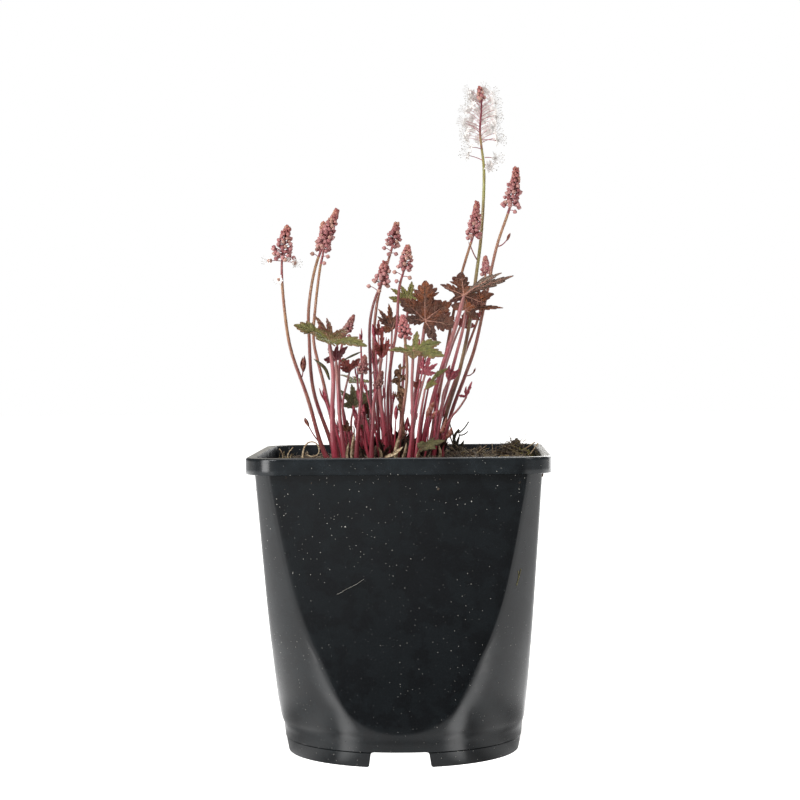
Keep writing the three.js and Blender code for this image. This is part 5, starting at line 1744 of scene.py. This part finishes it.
def leafSurface(leaf):
    centre = np.array(leaf["at"], float)
    lobes = [np.array(tip, float) - centre for tip in leaf["tips"]]
    normal = leafPlane(lobes)
    upward = normal if normal[2] >= 0 else -normal
    fold = leaf.get("fold", 0.12)
    rows = leafShape["rows"]
    depths = leaf.get("depths", [leafShape["sinusDepth"]] * (len(lobes) - 1))
    sinuses = [(a + b) * (depth / 2) for a, b, depth in zip(lobes, lobes[1:], depths)]
    widths = leaf.get("widths", [1.0] * len(lobes))
    blush = leaf.get("blush", [0.0] * len(lobes))
    points, faces, maps, rims, ribs, veins, lobeBlushAndSheen = [], [], [], [], [], [], []
    for i, lobe in enumerate(lobes):
        length = np.linalg.norm(lobe)
        across = unit(np.cross(normal, lobe))
        arch = leaf.get("arch", leafShape["arch"])

        def lift(share):
            return arch * length * 4 * share * (1 - share)

        teeth = leaf.get("teeth") or (4 if length > 19 else 3 if length > 11 else 2)
        for sign, other, sinus in ((-1, i - 1, sinuses[i - 1] if i > 0 else None),
                                   (1, i + 1, sinuses[i] if i < len(sinuses) else None)):
            width = leaf.get("widest", leafShape["widest"])
            if sinus is not None:
                width = min(width, 0.62 * math.tan(0.42 * flatAngle(lobe, lobes[other], normal))) * widths[i]
            else:
                width *= widths[i]
                sinus = lobe * 0.3 + across * (sign * width * 0.75 * length)
            columns = halfLobe(lobe, across * sign, width, sinus, teeth, lift, upward, fold)
            first = len(points)
            for boundary, ribShare, count, openEdge in columns:
                rib = lobe * ribShare + upward * lift(ribShare)
                for r in range(rows + 1):
                    v = r / rows
                    spot = rib + (boundary - rib) * v
                    wide = np.linalg.norm(boundary - rib)
                    bulge = 4 * v * (1 - v) * wide
                    ridge = -math.cos(2 * math.pi * (count - 0.6)) * leafShape["pucker"]
                    spot = spot + upward * bulge * (leafShape["cup"] + ridge)
                    place = centre + spot
                    sway = noise.noise(Vector(place) * 0.09 + Vector((0, 0, 11))) * leaf.get("wave", 0.9)
                    points.append(place + upward * sway * clamp(np.linalg.norm(spot) / 8))
                    maps.append((count + 0.4, 0.5 + 0.5 * sign * v))
                    rims.append(v * openEdge)
                    lobeBlushAndSheen.append(blush[i] * clamp(ribShare * 3))
            for c in range(len(columns) - 1):
                for r in range(rows):
                    a = first + c * (rows + 1) + r
                    b = a + rows + 1
                    faces.append((a, b, b + 1, a + 1) if sign > 0 else (a, a + 1, b + 1, b))
            for c in range(leafShape["webColumns"] + 3, len(columns) - 2, 5):
                veins.append([points[first + c * (rows + 1) + r] for r in range(rows)])
            if sign > 0:
                ribs.append([points[first + c * (rows + 1)] for c in range(0, len(columns), 2)])
    return points, faces, maps, rims, lobeBlushAndSheen, ribs, veins, upward


def leafMesh(name, leaf, upper, under, ribFinish):
    points, faces, maps, rims, lobeBlushAndSheen, ribs, veins, upward = leafSurface(leaf)
    mesh = newMesh(name, points, faces)
    layer = mesh.uv_layers.new(name="leafMap")
    for polygon in mesh.polygons:
        for loop in polygon.loop_indices:
            layer.data[loop].uv = maps[mesh.loops[loop].vertex_index]
    storeOnPoints(mesh, "rim", rims)
    storeOnPoints(mesh, "blush", lobeBlushAndSheen)
    for finish in (upper, under, upper):
        mesh.materials.append(finish)
    shape = bmesh.new()
    shape.from_mesh(mesh)
    bmesh.ops.remove_doubles(shape, verts=shape.verts, dist=0.03 * mm)
    bmesh.ops.dissolve_degenerate(shape, edges=shape.edges, dist=0.005 * mm)
    bmesh.ops.recalc_face_normals(shape, faces=shape.faces)
    total = sum((face.normal * face.calc_area() for face in shape.faces), Vector())
    if total.dot(Vector(upward)) < 0:
        bmesh.ops.reverse_faces(shape, faces=shape.faces)
    for face in shape.faces:
        face.smooth = True
    shape.to_mesh(mesh)
    shape.free()
    blade = newObject(name, mesh)
    slab = blade.modifiers.new("thickness", "SOLIDIFY")
    slab.thickness = leafShape["thick"] * mm
    slab.offset = 0.0
    slab.material_offset = 1
    slab.material_offset_rim = 2
    settled(blade)
    sunk = upward * (leafShape["thick"] * 0.2)
    size = leaf.get("ribThick", 0.42)
    chains = [chainAlong([p - sunk for p in line], size, 0.1, 0.7, power=0.8) for line in ribs]
    chains += [chainAlong([p - sunk for p in line], size * 0.42, 0.07, 0.7) for line in veins]
    return [blade, tubesAlong(name + "_ribs", chains, ribFinish, sides=5)]


finishes = {
    "green": (leafGreen, leafGreenUnder, ribPale, "leaf_green"),
    "bronze": (leafBronze, leafBronzeUnder, ribPale, "leaf_bronze"),
    "red": (leafRed, leafRedUnder, pedicelSkin, "leaf_red"),
    "pink": (leafPink, leafPink, pedicelSkin, "leaf_red"),
    "olive": (leafOlive, leafOlive, ribPale, "leaf_bronze"),
    "dry": (dryLeaf, dryLeaf, dryBrown, "dry_plant"),
}

splitLeaves = [
    {"kind": "green", "thick": 1.4, "path": [(-36, -20, 159), (-38, -22, 186), (-37, -24, 212)],
     "at": (-39, -26, 231),
     "tips": [(-18, -32, 228), (-30, -12, 237), (-41, -13, 244), (-48, -19, 246), (-58, -30, 240),
              (-45, -42, 232)],
     "widths": [0.95, 0.7, 0.55, 0.55, 1.7, 1.5], "depths": [0.4, 0.4, 0.4, 0.5, 0.85],
     "blush": [0.0, 0.8, 1.0, 1.0, 0.1, 0.0]},
    {"kind": "red", "thick": 1.3, "path": [(-30, -10, 158), (-34, -11, 185), (-35, -12, 205)],
     "at": (-36, -12, 220),
     "tips": [(-30, -6, 228), (-35, -13, 230), (-40, -18, 229), (-42.5, -16, 221)],
     "widths": [0.8, 0.7, 0.7, 0.9], "fold": 0.3, "wave": 1.6},
    {"kind": "bronze", "thick": 1.2, "path": [(6, 4, 157), (7, 6, 191), (11, 7, 220)], "at": (14, 8, 242),
     "tips": [(20.5, -1.5, 230), (32, -1, 238.5), (29, 10, 253), (14, 20, 265), (-0.5, 12, 255),
              (2, 4, 243)],
     "widths": [0.75, 1.45, 1.15, 1.35, 1.1, 1.05], "depths": [0.45, 0.36, 0.7, 0.62, 0.4],
     "blush": [1.0, 0.75, 0.3, 0.0, 0.35, 1.0], "ribThick": 0.66},
    {"kind": "green", "thick": 0.9, "path": [(-2, 18, 157), (0, 21, 197), (2, 22, 226)], "at": (4, 24, 253),
     "tips": [(11, 26, 259), (6, 31, 265), (0, 30, 263), (-6, 25, 261), (-7, 22, 256)]},
    {"kind": "bronze", "thick": 1.5, "path": [(10, -6, 158), (14, -7, 181), (18, -8, 197), (24, -10, 217),
                                              (31, -11, 238)],
     "at": (36, -12, 256),
     "tips": [(48, -7, 251), (64, -1, 267), (57, -22, 268), (35, -8, 269), (23, -15, 262), (28, -18, 253)],
     "widths": [0.7, 0.5, 0.5, 1.6, 0.6, 0.9], "depths": [0.42, 0.34, 0.4, 0.46, 0.5],
     # the two lobes with a blush under 0 are seen edge-on and take a painted sheen
     "blush": [0.4, -0.5, -0.9, 0.35, 0.4, 0.6], "ribThick": 0.55},
    {"kind": "bronze", "thick": 1.1, "path": [(16, 1, 157), (21, 0, 185), (27, 0, 207), (31, 0, 221),
                                              (36, 1, 240)],
     "at": (37, 1, 248), "tips": [(45, -6, 242), (58, -3, 249), (53, 3, 257), (37, 9, 257), (29, 5, 251)],
     "widths": [0.8, 0.5, 1.3, 1.4, 1.1], "depths": [0.4, 0.45, 0.8, 0.7], "blush": [0.6, 0.3, 0, 0, 0.4]},
    {"kind": "green", "thick": 1.0, "path": [(4, -28, 159), (7, -33, 182), (7, -38, 206)],
     "at": (8, -42, 225),
     "tips": [(25, -48, 222), (23, -36, 230), (10, -33, 236), (3, -36, 229), (-5, -48, 225), (8, -56, 221)],
     "widths": [1.2, 1.1, 0.6, 0.6, 0.6, 1.1], "depths": [0.7, 0.36, 0.4, 0.46, 0.5],
     "blush": [0, 0, 0, 0, 0, 0.5]},
]

youngLeaves = [
    {"kind": "red", "thick": 0.9, "path": [(-30, 2, 158), (-32, 0, 181), (-33, -2, 195)],
     "at": (-29, -4, 213),
     "tips": [(-26, -10, 216), (-23, -2, 221), (-33, 2, 221), (-34, -6, 216)]},
    {"kind": "olive", "thick": 0.9, "path": [(-26, 10, 157), (-29, 13, 185)], "at": (-27, 14, 193),
     "tips": [(-20, 6, 196), (-16, 18, 203), (-29, 20, 206), (-35, 14, 203), (-34, 8, 194)],
     "widths": [0.7, 0.7, 0.6, 0.6, 0.7]},
    {"kind": "green", "thick": 0.9, "path": [(-22, 22, 157), (-24, 27, 185)], "at": (-26, 30, 207),
     "tips": [(-17, 32, 207), (-25, 42, 209), (-36, 28, 211), (-30, 18, 207)]},
    {"kind": "red", "thick": 1.0, "path": [(15, 22, 156), (20, 25, 197), (26, 27, 218), (31, 27, 232)],
     "at": (34, 28, 239), "tips": [(43, 24, 239), (47, 33, 247), (39, 37, 248), (32, 31, 245)]},
    {"kind": "green", "thick": 1.0, "path": [(8, -18, 159), (11, -20, 187)], "at": (14, -24, 204),
     "tips": [(21, -33, 207), (27, -29, 215), (18, -22, 209)], "widths": [0.7, 1.5, 0.7],
     "depths": [0.7, 0.7]},
    {"kind": "red", "thick": 1.4, "path": [(-7, -14, 158), (-8, -15, 170), (-9, -17, 183), (-11, -19, 198),
                                            (-11, -21, 216)],
     "at": (-10, -22, 221), "tips": [(-6, -26, 232), (-10, -19, 239), (-12.5, -26, 231)], "fold": 0.7,
     "widths": [0.7, 0.9, 0.7]},
    {"kind": "bronze", "thick": 0.9, "path": [(-8, 8, 157), (-6, 9, 186), (-6, 9, 214)], "at": (-5, 10, 237),
     "tips": [(-2, 12, 247), (-7, 16, 252), (-13, 14, 249), (-13, 9, 245), (-12, 5, 238)]},
    {"kind": "pink", "thick": 1.0, "path": [(6, -12, 158), (7, -13, 181), (10, -13, 197)],
     "at": (14, -14, 212),
     "tips": [(20, -18, 213), (21, -16, 218), (16.5, -11, 223), (11.5, -13, 220), (10, -16, 214)],
     "fold": 0.3, "widths": [0.8] * 5, "depths": [0.46] * 4},
    {"kind": "pink", "thick": 1.0, "path": [(17, -8, 158), (23, -11, 191), (24, -11, 201)],
     "at": (27, -12, 208),
     "tips": [(33.5, -14, 215.5), (31.4, -12, 221), (28, -15, 217)], "fold": 0.35, "widths": [0.7] * 3},
    {"kind": "pink", "thick": 0.9, "path": [(22, -6, 158), (24, -9, 175), (28, -12, 187), (33, -13, 193)],
     "at": (37, -14, 199), "tips": [(40, -15, 208), (37, -11, 205), (32, -16, 200)], "fold": 0.4,
     "widths": [0.5] * 3, "depths": [0.3] * 2},
]

smallLeaves = [  # new leaves too small to be solids of their own
    {"kind": "bronze", "thick": 0.7, "path": [(-26, -3, 158), (-29, -5, 170)], "at": (-30.6, -6, 180),
     "tips": [(-27.4, -7, 183), (-30.4, -4, 186.2), (-34, -7, 184)], "depths": [0.7] * 2},
    {"kind": "olive", "thick": 0.6, "path": [(-20, 19, 157), (-23, 22, 186), (-23, 22, 196)],
     "at": (-21.4, 22, 197.5),
     "tips": [(-17, 20, 192.5), (-19, 21, 184.6), (-23.4, 23, 189)], "depths": [0.6] * 2},
    {"kind": "olive", "thick": 0.6, "path": [(-17, 16, 157), (-17.6, 17, 170)], "at": (-18.4, 18, 178.5),
     "tips": [(-12.6, 16, 184), (-16.6, 20, 189), (-21, 20, 188), (-23.6, 16, 183)], "depths": [0.6] * 3},
    {"kind": "red", "thick": 0.6, "path": [(4, -5, 158), (7, -7, 184), (9, -8, 198)], "at": (9.8, -8, 203.6),
     "tips": [(12.6, -10, 208.4), (9.9, -6, 210.4), (7.2, -9, 208.6)], "depths": [0.7] * 2},
    {"kind": "red", "thick": 0.7, "path": [(-9, 2, 158), (-11, 4, 190), (-12, 5, 222)],
     "at": (-12.8, 6, 234),
     "tips": [(-10, 5, 239), (-12.6, 7, 243), (-15.4, 4, 240)], "depths": [0.5] * 2},
]

fallenLeaf = {"kind": "dry", "thick": 0.8, "path": [(10, -26, 158), (10, -26, 165)], "at": (11, -26, 170),
              "tips": [(20, -35, 171), (25, -28, 175), (19, -22, 177), (13, -22, 175)], "wave": 2.0,
              "widths": [1.3] * 4, "depths": [0.85] * 3, "fold": 0.2}


def makeSplitLeaf(k, leaf):
    upper, under, ribFinish, slotName = finishes[leaf["kind"]]
    path, thick = Path(rooted([*leaf["path"], leaf["at"]])), leaf["thick"]
    joint = path.length - stub
    chain = stemChain(path, 1, joint + 0.1, thick * 1.05, thick * 0.8, (k * 2 % 5) * 0.06)
    stem = tubesAlong(f"leaf_stem_{k:02d}_skin", [chain], leafStemSkin, 12, 0.12, 220.0)
    seat(stem, "leaf_stem_skin", f"leaf_stem_{k:02d}")
    growHairs(path, 12, path.length, thick, thick * 0.7, 0.4)
    name = f"leaf_blade_{k:02d}_skin"
    end = chainAlong(path.part(joint, path.length, 5), thick * 0.82, thick * 0.5, 1.0)
    blade = [*leafMesh(name, leaf, upper, under, ribFinish),
             tubesAlong(name + "_collar", [end], leafStemSkin, 12)]
    seat(joined(name, blade), slotName, f"leaf_blade_{k:02d}")


def makeWholeLeaf(name, leaf, stemFinish, *nodes):
    upper, under, ribFinish, slotName = finishes[leaf["kind"]]
    path, thick = Path(rooted([*leaf["path"], leaf["at"]])), leaf["thick"]
    chain = stemChain(path, 1, path.length, thick, thick * 0.6)
    stem = tubesAlong(name + "_stem", [chain], stemFinish, 10, 0.12, 220.0)
    growHairs(path, 12, path.length, thick, thick * 0.6)
    blade = leafMesh(name + "_blade", leaf, upper, under, ribFinish)
    seat(joined(name + "_skin", [*blade, stem]), slotName, *nodes)


def thornShape():
    # a hair of unit length
    points = [*[around(45, turn, 0) for turn in (0.0, 2.1, 4.2)], (0, 0, unitLong)]
    return newObject("hair", newMesh("hair", points, [(2, 1, 0), (0, 1, 3), (1, 2, 3), (2, 0, 3)]))


for number, leaf in enumerate(splitLeaves, 1):
    makeSplitLeaf(number, leaf)
for number, leaf in enumerate(youngLeaves, 1):
    makeWholeLeaf(f"young_leaf_{number:02d}", leaf, leafStemSkin, f"young_leaf_{number:02d}")
for number, leaf in enumerate(smallLeaves, 1):
    makeWholeLeaf(f"small_leaf_{number:02d}", leaf, leafStemSkin)
makeWholeLeaf("fallen_leaf", fallenLeaf, dryBrown, "fallen_leaf")
hair = thornShape()
seat(setShapes("stem_hairs", hairs, hair, hairPale), "leaf_stem_skin")
for shape in (bud, slimBud, rod, hair, blossom):
    bpy.data.objects.remove(shape)
print("leaves made")


# Stage: floor, light and camera

studio = {
    "floor": ("f4f3f1", "f7f6f5"), "worldStrength": 0.24, "lift": (0.62, 1.3),
    # the front, side, foot, strip and back values set painted reflections: glows on the floor that only the
    # pot's glossy plastic sees
    "frontPaintedReflection": (0.15, 0.42), "sidePaintedReflection": (1.25, 1.6),
    "footPaintedReflection": 0.95, "stripPaintedReflection": 3.7, "backPaintedReflection": 1.2, "halfFloor": 6000.0,
    # name, place, target, width, height, power
    "lights": [("leftBox", (-0.84, -0.7, 0.4), (0, 0, 0.3), 0.4, 0.8, 8.6),
               ("rightBox", (0.6, 1.02, 0.45), (0, 0, 0.4), 0.9, 0.9, 6.0),
               ("keyBox", (-0.75, -1.15, 1.1), (0, 0, 0.25), 0.4, 0.4, 10.0),
               ("fillBox", (0.9, -0.9, 0.8), (0, 0, 0.2), 0.4, 0.4, 3.0),
               ("topBox", (0.1, 0.1, 1.7), (0, 0, 0.2), 0.9, 0.9, 9.0),
               ("backBox", (0.4, 1.3, 0.9), (0, 0, 0.25), 0.8, 0.8, 6.0)],
}
photoCamera = {"lens": 100.52, "sensor": 36.0, "distance": 1.26607, "aside": -0.00056, "height": 0.22913,
               "azimuth": 1.412, "pitch": 1.438, "roll": -0.468}


def makeFloor():
    finish, tree, shader, place = newFinish("floorPaper", 0.9, 0.1)
    mask = useGroup(tree, blotches, Vector=place, Scale=6.0, Contrast=0.3)["Mask"]
    paper = blendColours(tree, mask, *studio["floor"])
    tree.links.new(paper, shader.inputs["Base Color"])
    tree.links.new(paper, shader.inputs["Emission Color"])
    rays = tree.nodes.new("ShaderNodeLightPath").outputs
    parts = addNode(tree, "ShaderNodeSeparateXYZ", {0: place}).outputs
    away = addNode(tree, "ShaderNodeVectorMath", {0: place}, operation="LENGTH").outputs["Value"]
    # For the camera the floor glows so that it reads plain white; inside the pot's foot it glows strongly,
    # which is painted light over the pot's shadow there.
    paintedLightUnderPot = ranged(tree, away, 0.066, 0.07, 1.6, 0.0)
    lift = calc(tree, "MAXIMUM", ranged(tree, away, 0.1, 0.6, *studio["lift"]), paintedLightUnderPot)
    tree.links.new(times(tree, rays["Is Camera Ray"], lift), shader.inputs["Emission Strength"])
    # Painted reflection: glossy rays see a glowing map instead of the lit floor, so the pot's plastic shows
    # painted reflections: a dim glow ahead that is brighter to the left, brighter glows at the sides and
    # behind, a bright strip along each crease of the pot's front, and a glow round the front of its foot.
    across = calc(tree, "ABSOLUTE", parts[0])
    turn = calc(tree, "ARCTAN2", across, times(tree, parts[1], -1.0))  # 0 in front, half pi aside
    leftMore = ranged(tree, parts[0], -0.12, 0.09, 1.5, 0.7)
    ahead = times(tree, ranged(tree, away, 0.13, 0.8, *studio["frontPaintedReflection"]), leftMore)
    leftward = calc(tree, "MULTIPLY_ADD", parts[0], -0.12, across)
    share = ranged(tree, calc(tree, "MULTIPLY_ADD", parts[1], 0.5, leftward), 0.0, 0.06, kind="SMOOTHSTEP")
    clear = ranged(tree, away, 0.08, 0.13)
    dimmed = calc(tree, "MAXIMUM", ranged(tree, turn, 0.95, 1.4, 1.0, 0.34), clear)
    wide = times(tree, ranged(tree, across, 0.1, 0.35, *studio["sidePaintedReflection"]), dimmed)
    behind = times(tree, ranged(tree, parts[1], 0.0, 0.05, 0.0, studio["backPaintedReflection"]), clear)
    far = times(tree, calc(tree, "ADD", wide, behind), ranged(tree, away, 1.0, 1.9, 1.0, 0.35))
    broad = calc(tree, "MULTIPLY_ADD", share, calc(tree, "SUBTRACT", far, ahead), ahead)
    off = calc(tree, "SUBTRACT", parts[1], ranged(tree, across, 0.038, 0.07, -0.064, -0.086))
    ends = times(tree, ranged(tree, across, 0.028, 0.044), ranged(tree, across, 0.13, 0.2, 1.0, 0.0))
    rise = ranged(tree, off, -0.03, -0.003, kind="SMOOTHSTEP")
    fall = ranged(tree, off, 0.001, 0.014, studio["stripPaintedReflection"], 0.0, "SMOOTHSTEP")
    strip = times(tree, times(tree, rise, fall), ends)
    foot = times(tree, ranged(tree, away, 0.1, 0.118, studio["footPaintedReflection"], 0.0),
                 ranged(tree, turn, 0.5, 1.0, 1.0, 0.0))
    paintedGlow = calc(tree, "MAXIMUM", calc(tree, "MAXIMUM", broad, strip), foot)
    paintedReflection = addNode(tree, "ShaderNodeEmission", {"Color": (1, 1, 1, 1), "Strength": paintedGlow})
    both = addNode(tree, "ShaderNodeMixShader", {0: rays["Is Glossy Ray"], 1: shader.outputs[0],
                                                 2: paintedReflection.outputs[0]})
    tree.links.new(both.outputs[0], tree.nodes["Material Output"].inputs["Surface"])
    half = studio["halfFloor"]
    corners = [(-half, -half, 0), (half, -half, 0), (half, half, 0), (-half, half, 0)]
    floor = newObject("floor", newMesh("floor", corners, [(0, 1, 2, 3)]))
    floor.data.materials.append(finish)


def makeLights():
    for name, spot, target, width, height, power in studio["lights"]:
        lamp = bpy.data.lights.new(name, "AREA")
        lamp.shape, lamp.size, lamp.size_y, lamp.energy = "RECTANGLE", width, height, power
        thing = bpy.data.objects.new(name, lamp)
        bpy.context.scene.collection.objects.link(thing)
        thing.location = spot
        thing.rotation_euler = (Vector(target) - Vector(spot)).to_track_quat("-Z", "Y").to_euler()
    world = bpy.data.worlds.new("studio")
    bpy.context.scene.world = world
    world.use_nodes = True
    tree = world.node_tree
    tree.nodes.clear()
    seen = addNode(tree, "ShaderNodeBackground", {"Color": (1, 1, 1, 1), "Strength": 1.0})
    soft = addNode(tree, "ShaderNodeBackground",
                   {"Color": (1, 1, 1, 1), "Strength": studio["worldStrength"]})
    rays = tree.nodes.new("ShaderNodeLightPath")
    both = addNode(tree, "ShaderNodeMixShader", {0: rays.outputs["Is Camera Ray"], 1: soft.outputs[0],
                                                 2: seen.outputs[0]})
    leave = tree.nodes.new("ShaderNodeOutputWorld")
    tree.links.new(both.outputs[0], leave.inputs[0])


def makeCamera():
    c = photoCamera
    turn, dip, roll = (math.radians(c[key]) for key in ("azimuth", "pitch", "roll"))
    far = c["distance"]
    place = Vector((c["aside"] + far * math.sin(turn), -far * math.cos(turn), c["height"]))
    ahead = Vector((-math.sin(turn) * math.cos(dip), math.cos(turn) * math.cos(dip), -math.sin(dip)))
    right = ahead.cross(Vector((0, 0, 1))).normalized()
    upward = right.cross(ahead)
    cosine, sine = math.cos(roll), math.sin(roll)
    right, upward = right * cosine + upward * sine, upward * cosine - right * sine
    eye = bpy.data.cameras.new("photoCamera")
    eye.lens, eye.sensor_width, eye.sensor_fit = c["lens"], c["sensor"], "HORIZONTAL"
    eye.clip_start, eye.clip_end = 0.05, 40.0
    camera = bpy.data.objects.new("photoCamera", eye)
    bpy.context.scene.collection.objects.link(camera)
    turned = Matrix((right, upward, -ahead)).transposed().to_4x4()
    camera.matrix_world = Matrix.Translation(place) @ turned
    bpy.context.scene.camera = camera


makeFloor()
makeLights()
makeCamera()
bpy.context.scene.view_settings.view_transform = "Standard"
print("stage made")
